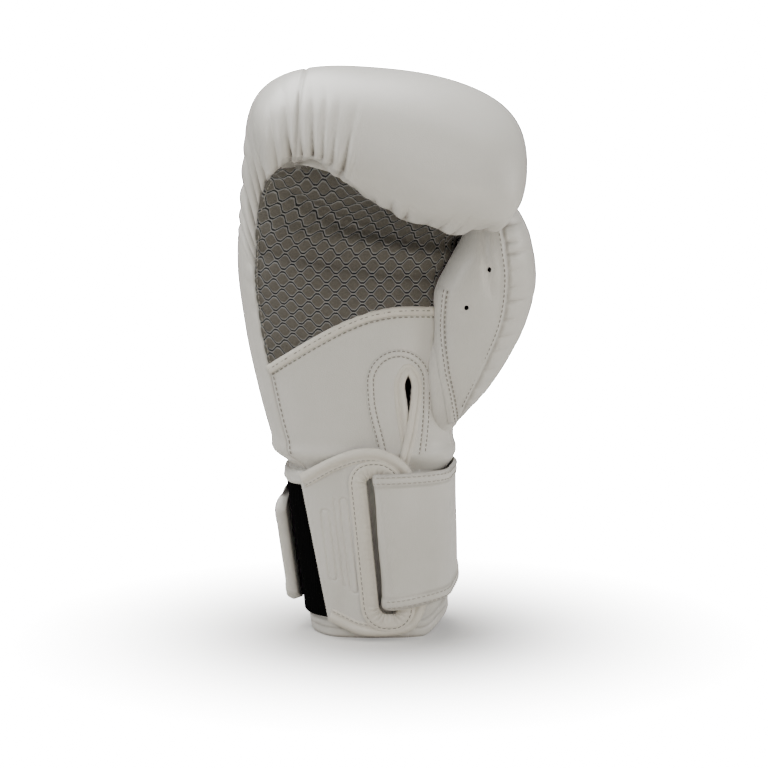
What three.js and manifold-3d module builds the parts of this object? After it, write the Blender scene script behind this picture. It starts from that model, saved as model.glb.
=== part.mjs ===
// Boxing glove for the right hand, standing on its cuff with the palm towards -Y.
// Millimetres, +Z up, +X towards the thumb. The hand and cuff are one tube of sections
// that runs up from the rim, over the knuckles and down the rolled fingers. Each piece is
// a stretch of that tube's wall, a layer on it, or a stretch of the thumb's own tube.
import * as THREE from "three";
import { mergeVertices } from "three/addons/utils/BufferGeometryUtils.js";
import Module from "manifold-3d";

const wasm = await Module();
wasm.setup();

// Driving dimensions
const cuffHeight = 84; // rim to wrist
const cuffWidth = 80.6;
const cuffDepth = 74;
const cuffShift = -2.7; // of the wrist from the hand's middle, towards the thumb
const rimWidth = 71; // the cuff is narrower at its rim
const rimShift = 4;
const handLength = 211; // wrist to the top of the knuckles
const fistWidth = 148;
const fistDepth = 144;
const palmWall = 4; // mesh, foam and cloth of the palm
const cuffWall = 5.5;
const knucklePad = 43; // padding over the knuckles
const sidePad = 16; // padding along the little finger
const pleatDepth = 1.6; // gathers along the seams
const pleatPitch = 12;
const pleatReach = 20;
const thumbSide = 42.5; // from the hand's middle to the thumb's root
const thumbLength = 132;
const thumbWidth = 49;
const thumbDepth = 46;
const thumbWall = 9;
const throatWidth = 40; // way from the hand's hollow into the thumb's
const throatHeight = 46;
const throatDepth = 26;
const ventRadius = 1.3; // air holes in the thumb's inner panel
const pipingWidth = 4.5;
const pipingRise = 1.2;
const slitWidth = 4;
const slitLength = 57; // wrist to the slit's round top
const slitBindingWidth = 4.4;
const slitBindingRise = 1.2;
const guardRise = 0.7; // stitched patch round the slit
const hemHeight = 8;
const hemRise = 1;
const cuffSplit = 7; // the cuff is split under the flap
const elasticThickness = 1.6;
const elasticHeight = 70;
const flapThickness = 2.4;
const flapRise = 20; // how far the flap reaches above the wrist
const bindingWidth = 4.6;
const bindingRise = 0.5;
const slotWidth = 12;
const slotHeight = 75;
const slotBindingWidth = 8.5;
const slotBindingRise = 0.9;
const strapThickness = 2.2;
const tipStandOff = 5; // the strap's free end stands off the cuff
const seamGap = 0.3; // between pieces that are sewn together
const layerGap = 0.8; // between layers that lie on each other

// Sections of the hand from the wrist to the fingertips. Each runs from the palm's surface
// to the back's. near and far place its two ends, in half fist depths and hand lengths;
// left and right are half fist widths; pad and side are shares of the padding; fist is how
// far the section has grown from the cuff's size; lean drops the thumb side of the roll.
const sections = [
  [0, 0, 0, 0, 0, 0, 0, 0.14, 0.35, 0], // wrist
  [0.2, -0.51, 0.045, 0.73, 0.048, 1.07, 0.8, 0.25, 0.5, 0], // gathers
  [0.35, -0.49, 0.09, 0.73, 0.1, 1, 0.71, 0.33, 0.55, 0], // heel
  [0.65, -0.49, 0.205, 0.73, 0.235, 0.95, 0.635, 0.6, 0.75, 0], // lower
  [0.9, -0.48, 0.335, 0.725, 0.385, 0.945, 0.622, 0.8, 0.9, 0], // mid
  [1, -0.45, 0.46, 0.72, 0.545, 0.965, 0.64, 0.92, 0.95, 0], // upper
  [1, -0.415, 0.56, 0.65, 0.715, 0.955, 0.72, 1, 0.95, 0.02], // crease
  [1, -0.405, 0.61, 0.375, 0.885, 0.925, 0.88, 1, 1, 0.05], // knuckle
  [1, -0.445, 0.645, -0.11, 0.985, 0.87, 0.985, 1, 1.05, 0.08], // top
  [1, -0.53, 0.667, -0.67, 0.985, 0.81, 1.035, 0.98, 1.1, 0.12], // brow
  [1, -0.64, 0.68, -1.11, 0.9, 0.79, 1.04, 0.85, 1.2, 0.2], // front
  [1, -0.74, 0.69, -1.29, 0.79, 0.75, 1, 0.68, 1.3, 0.28], // nose
  [1, -0.82, 0.695, -1.26, 0.705, 0.68, 0.92, 0.5, 1.3, 0.34], // lip
  [1, -0.89, 0.695, -1.07, 0.66, 0.58, 0.84, 0.25, 1.2, 0.37], // tip
].map(([fist, nearY, nearZ, farY, farZ, left, right, pad, side, lean]) => {
  return { fist, nearY, nearZ, farY, farZ, left, right, pad, side, lean };
});

// Sections of the thumb from its root to its tip. up is a share of its length, across and
// back place its centre in thumb widths and depths from the hand's right side, and width
// and depth are shares of its own.
const thumbSections = [
  { up: 0, across: -0.2, back: -0.3, width: 0.12, depth: 0.3 },
  { up: 0.1, across: -0.14, back: -0.33, width: 0.46, depth: 0.66 },
  { up: 0.2, across: -0.03, back: -0.36, width: 0.72, depth: 0.82 },
  { up: 0.32, across: 0.1, back: -0.4, width: 0.9, depth: 0.92 },
  { up: 0.45, across: 0.26, back: -0.45, width: 0.97, depth: 0.98 },
  { up: 0.6, across: 0.31, back: -0.5, width: 1.07, depth: 1 },
  { up: 0.72, across: 0.39, back: -0.53, width: 0.92, depth: 0.97 },
  { up: 0.83, across: 0.44, back: -0.53, width: 0.7, depth: 0.86 },
  { up: 0.91, across: 0.42, back: -0.52, width: 0.54, depth: 0.7 },
  { up: 0.97, across: 0.38, back: -0.51, width: 0.35, depth: 0.45 },
  { up: 1, across: 0.37, back: -0.51, width: 0.08, depth: 0.1 },
];

// Where the leather ends and the palm begins, as angles round a section from the middle of
// the palm, at the wrist and at the fingertips.
const leftSeam = { wrist: 46, middle: 51, tip: 50 };
const rightSeam = { wrist: 68, middle: 64, tip: 64 };
const seamMiddle = 5; // the row of sections that middle belongs to

const rad = THREE.MathUtils.degToRad;
const lerp = THREE.MathUtils.lerp;

// Smooth value of one column of a table at position p, counted in rows.
function column(rows, key, p) {
  const last = rows.length - 1;
  const i = Math.min(Math.floor(Math.max(p, 0)), last - 1);
  const t = Math.min(Math.max(p - i, 0), 1);
  const at = (n) => rows[Math.min(Math.max(n, 0), last)][key];
  const [a, b, c, d] = [at(i - 1), at(i), at(i + 1), at(i + 2)];
  return (
    b + 0.5 * t * (c - a + t * (2 * a - 5 * b + 4 * c - d + t * (3 * (b - c) + d - a)))
  );
}

// The rim is at position -1, the wrist at 0 and the fingertips at the last row.
const fingertips = sections.length - 1;

// The outline's frame at one position along the tube.
function sectionAt(p) {
  const inCuff = Math.min(p, 0) + 1; // 0 at the rim, 1 from the wrist up
  const q = Math.max(p, 0);
  const share = (key) => column(sections, key, q);
  const fist = share("fist");
  const wristHalf = lerp(rimWidth, cuffWidth, inCuff) / 2;
  const shift = lerp(rimShift, cuffShift, inCuff);
  const mixed = (cuffValue, fistValue) => lerp(cuffValue, fistValue, fist);
  const halfDepth = fistDepth / 2;
  const z = (key) => cuffHeight * inCuff + share(key) * handLength;
  return {
    near: new THREE.Vector2(mixed(-cuffDepth / 2, share("nearY") * halfDepth), z("nearZ")),
    far: new THREE.Vector2(mixed(cuffDepth / 2, share("farY") * halfDepth), z("farZ")),
    left: mixed(wristHalf - shift, (share("left") * fistWidth) / 2),
    right: mixed(wristHalf + shift, (share("right") * fistWidth) / 2),
    pad: mixed(cuffWall, share("pad") * knucklePad),
    side: mixed(cuffWall, share("side") * sidePad),
    lean: share("lean"),
  };
}

const palmPower = 3; // squarer towards the palm, rounder over the back
const backPower = 2.35;
const leanReach = fistWidth * 0.3;

// A point of the outer surface, or with inner true of the hollow's surface.
function bodyPoint(p, degrees, inner = false) {
  const f = sectionAt(p);
  const depth = f.near.distanceTo(f.far);
  const low = inner ? palmWall + seamGap : 0;
  const high = inner ? Math.max(depth - f.pad, low + seamGap) : depth;
  const inset = inner ? f.side : 0;
  const a = rad(degrees);
  const [sin, cos] = [Math.sin(a), Math.cos(a)];
  const power = cos > 0 ? palmPower : backPower;
  const half = (sin < 0 ? f.left : f.right) - inset;
  const x = Math.sign(sin) * Math.abs(sin) ** (2 / power) * half;
  const d = lerp(low, high, (1 - Math.sign(cos) * Math.abs(cos) ** (2 / power)) / 2);
  const along = f.near.clone().lerp(f.far, d / depth);
  const drop = x > 0 ? leanReach * Math.tanh(x / leanReach) : x;
  return new THREE.Vector3(x, along.x, along.y - f.lean * drop);
}

// The outward direction at a point of the outer surface.
function bodyNormal(p, degrees) {
  const [dp, da] = [0.02, 1];
  const p0 = Math.max(p - dp, -1);
  const p1 = Math.min(p + dp, fingertips);
  const up = bodyPoint(p1, degrees).sub(bodyPoint(p0, degrees));
  const round = bodyPoint(p, degrees + da).sub(bodyPoint(p, degrees - da));
  return round.cross(up).normalize();
}

function layerPoint(p, degrees, rise) {
  return bodyPoint(p, degrees).addScaledVector(bodyNormal(p, degrees), rise);
}

// A closed solid between two grids of points with the same corners. skin(i, j) gives the
// outer points and core(i, j) the inner ones, which are taken at every second step.
function shellGeometry(rows, columns, skin, core, coarse = 2) {
  const points = [];
  const faces = [];
  const add = (v) => points.push(v) - 1;
  const outer = [];
  for (let i = 0; i <= rows; i++) {
    outer.push(Array.from({ length: columns + 1 }, (_, j) => add(skin(i / rows, j / columns))));
  }
  const [m, n] = [rows / coarse, columns / coarse];
  const inner = [];
  for (let i = 0; i <= m; i++) {
    inner.push(Array.from({ length: n + 1 }, (_, j) => add(core(i / m, j / n))));
  }
  const quads = (g, flip) => {
    for (let i = 0; i + 1 < g.length; i++) {
      for (let j = 0; j + 1 < g[0].length; j++) {
        const [a, b, c, d] = [g[i][j], g[i][j + 1], g[i + 1][j + 1], g[i + 1][j]];
        faces.push(...(flip ? [a, c, b, a, d, c] : [a, b, c, a, c, d]));
      }
    }
  };
  const zip = (fine, rough) => {
    for (let k = 0; k + 1 < rough.length; k++) {
      const start = k * coarse;
      for (let s = 0; s < coarse; s++) {
        const apex = s < coarse / 2 ? rough[k] : rough[k + 1];
        faces.push(fine[start + s + 1], fine[start + s], apex);
      }
      faces.push(fine[start + coarse / 2], rough[k], rough[k + 1]);
    }
  };
  quads(outer, false);
  quads(inner, true);
  zip(outer[0], inner[0]);
  zip([...outer[rows]].reverse(), [...inner[m]].reverse());
  zip(outer.map((r) => r[columns]), inner.map((r) => r[n]));
  zip(outer.map((r) => r[0]).reverse(), inner.map((r) => r[0]).reverse());
  const geometry = new THREE.BufferGeometry().setFromPoints(points);
  geometry.setIndex(faces);
  return geometry;
}

function solid(geometry) {
  const bare = geometry.clone();
  bare.deleteAttribute("normal");
  bare.deleteAttribute("uv");
  const merged = mergeVertices(bare, 1e-4);
  return new wasm.Manifold(
    new wasm.Mesh({
      numProp: 3,
      vertProperties: new Float32Array(merged.attributes.position.array),
      triVerts: new Uint32Array(merged.index.array),
    }),
  );
}

function geometryOf(made) {
  const mesh = made.getMesh();
  const geometry = new THREE.BufferGeometry();
  geometry.setAttribute("position", new THREE.BufferAttribute(mesh.vertProperties, 3));
  geometry.setIndex(new THREE.BufferAttribute(mesh.triVerts, 1));
  return geometry;
}

// The main body of a cut solid, without the crumbs that a cut can leave beside it.
function largest(made) {
  return made.decompose().sort((a, b) => b.volume() - a.volume())[0];
}

// An outline in the front view, pushed through the glove along Y.
function throughFront(shape, fromY, toY, curveSegments = 6) {
  const geometry = new THREE.ExtrudeGeometry(shape, {
    depth: toY - fromY,
    bevelEnabled: false,
    curveSegments,
  });
  geometry.rotateX(Math.PI / 2); // shape's y becomes z, and its depth runs towards -Y
  geometry.translate(0, toY, 0);
  return solid(geometry);
}

// Lengths along a section's outline, from the back's middle round to itself twice over.
const arcStep = 4;
const arcTables = new Map();
function arcTable(p) {
  const key = p.toFixed(5);
  if (!arcTables.has(key)) {
    const table = [{ angle: -180, length: 0 }];
    let last = bodyPoint(p, -180);
    for (let angle = -180 + arcStep; angle <= 540; angle += arcStep) {
      const next = bodyPoint(p, angle);
      table.push({ angle, length: table.at(-1).length + next.distanceTo(last) });
      last = next;
    }
    arcTables.set(key, table);
  }
  return arcTables.get(key);
}

function interpolate(table, from, to, value) {
  let [low, high] = [0, table.length - 1];
  while (high - low > 1) {
    const middle = (low + high) >> 1;
    if (table[middle][from] > value) high = middle;
    else low = middle;
  }
  const share = (value - table[low][from]) / (table[high][from] - table[low][from]);
  return lerp(table[low][to], table[high][to], share);
}

// The angle that lies the given distance further round the outline than another.
function shifted(p, angle, distance) {
  const table = arcTable(p);
  return interpolate(table, "length", "angle", interpolate(table, "angle", "length", angle) + distance);
}

// The angle at a share of the way along the outline from one angle to another.
function between(p, from, to, share) {
  const table = arcTable(p);
  const start = interpolate(table, "angle", "length", from);
  const end = interpolate(table, "angle", "length", to);
  return interpolate(table, "length", "angle", lerp(start, end, share));
}

function seamAngle(seam, p) {
  const q = Math.max(p, 0);
  if (q < seamMiddle) return lerp(seam.wrist, seam.middle, q / seamMiddle);
  return lerp(seam.middle, seam.tip, (q - seamMiddle) / (fingertips - seamMiddle));
}

// A point below the surface, on the way from it to the hollow.
function wallPoint(p, angle, depth) {
  const outer = bodyPoint(p, angle);
  const way = bodyPoint(p, angle, true).sub(outer);
  return outer.addScaledVector(way.normalize(), depth);
}

// Position along the tube of a height on the cuff or just above the wrist.
function positionAt(z) {
  if (z < cuffHeight) return z / cuffHeight - 1;
  let [low, high] = [0, seamMiddle];
  while (high - low > 1e-4) {
    const middle = (low + high) / 2;
    if (column(sections, "nearZ", middle) * handLength > z - cuffHeight) high = middle;
    else low = middle;
  }
  return low;
}

// How far the gathers lift the leather at a distance from its seam.
function gather(alongSeam, fromSeam) {
  const fade = Math.exp(-fromSeam / (pleatReach / 2)) * Math.min(1, fromSeam / 4 + 0.25);
  return pleatDepth * fade * Math.sin((2 * Math.PI * alongSeam) / pleatPitch);
}

// The padded leather over the back of the hand, the knuckles and the rolled fingers.
function fistShell() {
  const from = (p) => seamAngle(rightSeam, p);
  const to = (p) => 360 - seamAngle(leftSeam, p);
  const angleAt = (p, v) => between(p, from(p), to(p), v);
  const seamLength = handLength * 1.1;
  return solid(
    shellGeometry(
      56,
      20,
      (u, v) => {
        const p = u * fingertips;
        const angle = angleAt(p, v);
        const table = arcTable(p);
        const fromLeft =
          interpolate(table, "angle", "length", to(p)) - interpolate(table, "angle", "length", angle);
        const fromTip = (1 - u) * seamLength;
        const gathered = Math.min(Math.max((p - 2.5) / 2, 0), 1);
        const side = gather(u * seamLength, fromLeft) * gathered;
        const lip = gather(bodyPoint(p, angle).x, fromTip);
        const rise = p > 0 && u < 1 ? side + lip : 0;
        return layerPoint(p, angle, rise);
      },
      (u, v) => bodyPoint(u * fingertips, angleAt(u * fingertips, v), true),
    ),
  );
}

// The palm's wall, with its outer face raised for a piece that stands proud of it.
function palmWallSolid(rise) {
  const from = (p) => shifted(p, -seamAngle(leftSeam, p), seamGap * 3);
  const to = (p) => shifted(p, seamAngle(rightSeam, p), -seamGap * 3);
  const start = 0.02;
  const angleAt = (p, v) => between(p, from(p), to(p), v);
  const p = (u) => lerp(start, fingertips, u);
  return solid(
    shellGeometry(
      40,
      12,
      (u, v) => layerPoint(p(u), angleAt(p(u), v), rise),
      (u, v) => wallPoint(p(u), angleAt(p(u), v), palmWall),
    ),
  );
}

// Heights across a layer, with one row on the wrist, where the surface has its bend.
function heightAt(low, high, u) {
  if (high <= cuffHeight) return lerp(low, high, u);
  return u < 0.75 ? lerp(low, cuffHeight, u / 0.75) : lerp(cuffHeight, high, u * 4 - 3);
}

// A stretch of a layer on the cuff. low and high are heights, from and to are lengths
// round the front from its middle, and base gives how far the layer lies off the cuff.
function cuffLayer({ low, high, from, to, base, thickness, rows = 8, columns = 20 }) {
  const point = (u, v, rise) => {
    const p = positionAt(heightAt(low, high, u));
    const length = lerp(from, to, v);
    return layerPoint(p, shifted(p, 0, length), rise);
  };
  return solid(
    shellGeometry(
      rows,
      columns,
      (u, v) => point(u, v, base(lerp(from, to, v)) + thickness),
      (u, v) => point(u, v, base(lerp(from, to, v))),
    ),
  );
}

function halfRound(p) {
  const table = arcTable(p);
  return interpolate(table, "angle", "length", 180) - interpolate(table, "angle", "length", 0);
}

// The cuff's own wall, split at the front so that the hand can go in.
function cuffTube(low, high, rise, rows) {
  const split = { middle: slitFoot().x, half: cuffSplit / 2 };
  const angles = (p, v) => {
    const start = shifted(p, 0, split.middle + split.half);
    const end = shifted(p, 360, split.middle - split.half);
    return between(p, start, end, v);
  };
  const p = (u) => positionAt(lerp(low, high, u));
  return solid(
    shellGeometry(
      rows,
      48,
      (u, v) => {
        const point = layerPoint(p(u), angles(p(u), v), rise);
        return low + u > 0 ? point : point.setZ(0); // the rim is flat
      },
      (u, v) => bodyPoint(p(u), angles(p(u), v), true),
    ),
  );
}

// The thumb's own tube of upright sections, shrunk all round by inset.
const thumbRoot = 16; // above the wrist
const thumbPower = 2.2;
const thumbRows = 14;
const thumbColumns = 18;
function thumbPoint(share, angle, inset) {
  const row = (key) => column(thumbSections, key, rowOfShare(share));
  const halfWidth = Math.max((row("width") * thumbWidth) / 2 - inset, 0.5);
  const halfDepth = Math.max((row("depth") * thumbDepth) / 2 - inset, 0.5);
  const rounded = (value) => Math.sign(value) * Math.abs(value) ** (2 / thumbPower);
  const grown = Math.min(inset, 0);
  return new THREE.Vector3(
    thumbSide + row("across") * thumbWidth + halfWidth * rounded(Math.sin(angle)),
    row("back") * thumbDepth - halfDepth * rounded(Math.cos(angle)),
    cuffHeight + thumbRoot + lerp(grown, thumbLength - grown, share),
  );
}

function rowOfShare(share) {
  let i = 0;
  while (i < thumbSections.length - 2 && thumbSections[i + 1].up < share) i++;
  const [a, b] = [thumbSections[i].up, thumbSections[i + 1].up];
  return i + (share - a) / (b - a);
}

// Closed tube of the thumb between two shares of its length.
function thumbTube(inset, low, high) {
  const points = [];
  const faces = [];
  const ease = (u) => lerp(low, high, Math.sin((u * Math.PI) / 2));
  for (let i = 0; i <= thumbRows; i++) {
    for (let j = 0; j < thumbColumns; j++) {
      points.push(thumbPoint(ease(i / thumbRows), (2 * Math.PI * j) / thumbColumns, inset));
    }
  }
  const index = (i, j) => i * thumbColumns + (j % thumbColumns);
  for (let i = 0; i < thumbRows; i++) {
    for (let j = 0; j < thumbColumns; j++) {
      const [a, b, c, d] = [index(i, j), index(i, j + 1), index(i + 1, j + 1), index(i + 1, j)];
      faces.push(a, b, c, a, c, d);
    }
  }
  for (let j = 1; j + 1 < thumbColumns; j++) {
    faces.push(index(0, 0), index(0, j + 1), index(0, j));
    faces.push(index(thumbRows, 0), index(thumbRows, j), index(thumbRows, j + 1));
  }
  const geometry = new THREE.BufferGeometry().setFromPoints(points);
  geometry.setIndex(faces);
  return solid(geometry);
}

function throat() {
  const geometry = new THREE.SphereGeometry(1, 16, 10);
  geometry.scale(throatWidth / 2, throatDepth / 2, throatHeight / 2);
  const height = cuffHeight + thumbRoot + thumbLength * 0.42;
  geometry.translate(thumbSide - sidePad * 0.4, -thumbDepth * 0.35, height);
  return solid(geometry);
}

// Outlines in the front view. Heights run from the wrist in hand lengths, and widths in
// half fist widths, both towards the thumb.
const halfFist = fistWidth / 2;
const frontPoint = (across, up) => new THREE.Vector2(across * halfFist, cuffHeight + up * handLength);

function smooth(points, closed = true) {
  const curve = new THREE.SplineCurve(closed ? [...points, points[0]] : points);
  return curve.getPoints(points.length * 2);
}

function outline(points) {
  return new THREE.Shape(points);
}

// The edge between the mesh and the leather of the palm.
const pipingCurve = [
  frontPoint(-0.95, 0.2),
  frontPoint(-0.62, 0.285),
  frontPoint(-0.2, 0.37),
  frontPoint(0.12, 0.405),
  frontPoint(0.5, 0.405),
  frontPoint(0.9, 0.39),
];

function belowPiping(rise) {
  const top = smooth(pipingCurve, false).map((q) => new THREE.Vector2(q.x, q.y + rise));
  return outline([...top, new THREE.Vector2(fistWidth, 0), new THREE.Vector2(-fistWidth, 0)]);
}

function slitTop() {
  return new THREE.Vector2(0.26 * halfFist, cuffHeight + slitLength);
}

function slitFoot() {
  return new THREE.Vector2(0.235 * halfFist, cuffHeight);
}

// The slit, widened all round by grow: a round top and straight sides down to the wrist.
function slitOutline(grow) {
  const [top, foot] = [slitTop(), slitFoot()];
  const radius = slitWidth / 2 + grow;
  const footHalf = slitWidth / 4 + grow;
  const shape = new THREE.Shape();
  shape.moveTo(foot.x - footHalf, foot.y - flapRise);
  shape.lineTo(foot.x + footHalf, foot.y - flapRise);
  shape.lineTo(top.x + radius, top.y - slitWidth / 2);
  shape.absarc(top.x, top.y - slitWidth / 2, radius, 0, Math.PI);
  return shape;
}

// The stitched patch round the slit, an upturned U.
function guardOutline(grow) {
  const [top, foot] = [slitTop(), slitFoot()];
  const bareHalf = 0.205 * halfFist;
  const half = bareHalf + grow;
  const middle = (top.x + foot.x) / 2 - 0.03 * halfFist;
  const crown = top.y + slitBindingWidth * 3 - bareHalf;
  const shape = new THREE.Shape();
  shape.moveTo(middle - half * 0.6, foot.y - flapRise);
  shape.lineTo(middle + half, foot.y - flapRise);
  shape.lineTo(middle + half, crown);
  shape.absarc(middle, crown, half, 0, Math.PI);
  return shape;
}

// The flap's tongue over the front of the cuff. drop takes off the width of its binding.
function flapOutline(drop, leftReach) {
  const wrist = cuffHeight;
  const rim = hemHeight * 0.4 + drop;
  const right = 0.385 * halfFist - drop;
  const points = [
    new THREE.Vector2(-0.48 * halfFist - leftReach, wrist + flapRise * 0.1 - drop),
    new THREE.Vector2(-0.28 * halfFist, wrist + flapRise * 0.62 - drop),
    new THREE.Vector2(-0.04 * halfFist, wrist + flapRise * 0.9 - drop),
    new THREE.Vector2(0.2 * halfFist, wrist + flapRise * 0.72 - drop),
    new THREE.Vector2(right - 3, wrist + flapRise * 0.15 - drop),
    new THREE.Vector2(right, wrist * 0.8),
    new THREE.Vector2(right, wrist * 0.3),
    new THREE.Vector2(right - 6, rim + 4),
    new THREE.Vector2(0.15 * halfFist, rim),
    new THREE.Vector2(-0.1 * halfFist, rim + 0.5),
    new THREE.Vector2(-0.31 * halfFist - leftReach, rim + 6.5),
  ];
  return outline(smooth(points, false));
}

const slotLeft = 0.02 * halfFist;
const slotLow = () => cuffHeight * 0.145;
// The slot that the strap passes through, grown all round for its binding.
function slotOutline(grow) {
  const left = slotLeft - grow;
  const right = slotLeft + slotWidth + grow * 0.55;
  const low = slotLow() - grow * 0.6;
  const high = slotLow() + slotHeight + grow * 0.6;
  const r = slotWidth / 2 - 0.5;
  const shape = new THREE.Shape();
  shape.moveTo(left + r, low);
  shape.lineTo(right - r, low);
  shape.absarc(right - r, low + r, r, -Math.PI / 2, 0);
  shape.absarc(right - r, high - r, r, 0, Math.PI / 2);
  shape.absarc(left + r, high - r, r, Math.PI / 2, Math.PI);
  shape.absarc(left + r, low + r, r, Math.PI, 1.5 * Math.PI);
  return shape;
}

// The thumb's inner panel, a leaf between its two seams.
function thumbLeaf(grow) {
  const root = cuffHeight + thumbRoot;
  const at = (across, up) =>
    new THREE.Vector2(thumbSide + across * thumbWidth, root + up * thumbLength);
  const points = [
    at(0.01, 0.05 - grow / thumbLength),
    at(0.12 + grow / thumbWidth, 0.15),
    at(0.31 + grow / thumbWidth, 0.31),
    at(0.49 + grow / thumbWidth, 0.48),
    at(0.55 + grow / thumbWidth, 0.64),
    at(0.52 + grow / thumbWidth, 0.77),
    at(0.44, 0.94 + grow / thumbLength),
    at(-0.1, 0.94 + grow / thumbLength),
    at(-0.5 - grow / thumbWidth, 0.75),
    at(-0.5 - grow / thumbWidth, 0.5),
    at(-0.5 - grow / thumbWidth, 0.25),
    at(-0.3 - grow / thumbWidth, 0.06 - grow / thumbLength),
  ];
  return outline(smooth(points));
}

const farFront = -fistDepth * 1.2;
const cutFront = (shape) => throughFront(shape, farFront, 0);

// The strap's edges on its way round the cuff. along is in half rounds from the front's
// middle, low and high are in cuff heights.
const strapCourse = [
  { along: 0, low: 0.19, high: 0.98 },
  { along: 0.25, low: 0.25, high: 1.01 },
  { along: 0.5, low: 0.325, high: 1.045 },
  { along: 0.75, low: 0.31, high: 1.025 },
  { along: 1, low: 0.25, high: 0.97 },
  { along: 1.4, low: 0.2, high: 0.89 },
  { along: 1.6, low: 0.17, high: 0.83 },
];

// The layers on the cuff lie clear of its hem and of the slit's binding.
const firstLayer = Math.max(hemRise, slitBindingRise) + layerGap;

// The strap: one band from its sewn end under the flap, up through the slot, back over
// itself, round the back of the cuff and off at the little finger's side.
function strapPath() {
  const half = halfRound(positionAt(cuffHeight / 2));
  const inner = firstLayer + strapThickness / 2;
  const outer = inner + strapThickness + flapThickness + slotBindingRise + 3.5 * layerGap;
  const fold = slotLeft + slotWidth * 0.26;
  const bend = (outer - inner) / 2;
  const path = [];
  const steps = 6;
  const flapEnd = 0.385 * halfFist + strapThickness * 2;
  const sewnEnd = flapEnd + 8;
  for (let k = 0; k <= steps; k++) {
    path.push({ length: lerp(sewnEnd, fold + bend, k / steps), rise: inner });
  }
  for (let k = 1; k < steps; k++) {
    const turn = (Math.PI * k) / steps;
    path.push({
      length: fold + bend - bend * Math.sin(turn),
      rise: inner + bend - bend * Math.cos(turn),
    });
  }
  const overSewn = inner + strapThickness + layerGap * 2;
  const overElastic = inner + elasticThickness + layerGap;
  const stops = [
    { length: fold + bend, rise: outer, steps: 0 },
    { length: flapEnd, rise: outer, steps: 5 },
    { length: flapEnd + 10, rise: overSewn, steps: 2 },
    { length: flapEnd + 20, rise: inner, steps: 2 },
    { length: half * 1.23, rise: inner, steps: 20 },
    { length: half * 1.29, rise: overElastic, steps: 2 },
    { length: half * 1.47, rise: overElastic, steps: 6 },
    { length: half * 1.59, rise: overElastic + tipStandOff, steps: 4 },
  ];
  stops.forEach((stop, k) => {
    if (!k) path.push(stop);
    for (let s = 1; k && s <= stop.steps; s++) {
      const before = stops[k - 1];
      path.push({
        length: lerp(before.length, stop.length, s / stop.steps),
        rise: lerp(before.rise, stop.rise, s / stop.steps),
      });
    }
  });
  return path;
}

function courseAt(key, along) {
  let i = 0;
  while (i < strapCourse.length - 2 && strapCourse[i + 1].along < along) i++;
  const [a, b] = [strapCourse[i].along, strapCourse[i + 1].along];
  return column(strapCourse, key, i + (along - a) / (b - a)) * cuffHeight;
}

function strapBand() {
  const path = strapPath();
  const half = halfRound(positionAt(cuffHeight / 2));
  const steps = path.length - 1;
  const columns = steps - (steps % 2);
  const end = path.at(-1).length;
  const rows = 8;
  const centre = (k, u) => {
    const q = path[Math.min(k, steps)];
    const round = Math.max(0, 1 - (end - q.length) / 8) ** 2 * 6; // the tip's corners
    const low = courseAt("low", q.length / half) + round;
    const high = courseAt("high", q.length / half) - round;
    const p = positionAt(heightAt(low, high, u));
    return layerPoint(p, shifted(p, 0, q.length), q.rise);
  };
  const side = (k, u, sign) => {
    const along = centre(Math.min(k + 1, steps), u).sub(centre(Math.max(k - 1, 0), u));
    const up = centre(k, Math.min(u + 0.1, 1)).sub(centre(k, Math.max(u - 0.1, 0)));
    const normal = along.cross(up).normalize();
    return centre(k, u).addScaledVector(normal, (sign * strapThickness) / 2);
  };
  return solid(
    shellGeometry(
      rows,
      columns,
      (u, v) => side(Math.round(v * columns), u, 1),
      (u, v) => side(Math.round(v * columns), u, -1),
    ),
  );
}

const colours = {
  leather: { color: 0xdedcd6, roughness: 0.5, metalness: 0 },
  binding: { color: 0xd8d4c8, roughness: 0.55, metalness: 0 },
  mesh: { color: 0x8b8a80, roughness: 0.7, metalness: 0 },
  elastic: { color: 0x0c0c0e, roughness: 0.9, metalness: 0 },
};
const glove = new THREE.Group();
glove.name = "boxing_glove";
function place(name, made, look) {
  const material = new THREE.MeshStandardMaterial(colours[look]);
  const mesh = new THREE.Mesh(geometryOf(largest(made)), material);
  mesh.name = name;
  glove.add(mesh);
}

// Hand
const grownThumb = thumbTube(-seamGap * 2, 0, 1);
const thumbWay = throat();
place("fist_shell", fistShell().subtract(grownThumb).subtract(thumbWay), "leather");
const palm = palmWallSolid(0).subtract(grownThumb).subtract(thumbWay);
place("palm_mesh", palm.subtract(cutFront(belowPiping(pipingWidth / 2 + seamGap))), "mesh");
const raisedPalm = (rise) => palmWallSolid(rise).subtract(grownThumb);
place(
  "palm_piping",
  raisedPalm(pipingRise)
    .intersect(cutFront(belowPiping(pipingWidth / 2)))
    .subtract(cutFront(belowPiping(-pipingWidth / 2))),
  "binding",
);
place(
  "palm_panel",
  palm
    .intersect(cutFront(belowPiping(-pipingWidth / 2 - seamGap)))
    .subtract(cutFront(guardOutline(seamGap))),
  "leather",
);
place(
  "slit_guard",
  raisedPalm(guardRise)
    .intersect(cutFront(guardOutline(0)))
    .subtract(cutFront(slitOutline(slitBindingWidth + seamGap))),
  "leather",
);
place(
  "slit_binding",
  raisedPalm(slitBindingRise)
    .intersect(cutFront(slitOutline(slitBindingWidth)))
    .subtract(cutFront(slitOutline(0))),
  "binding",
);

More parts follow.
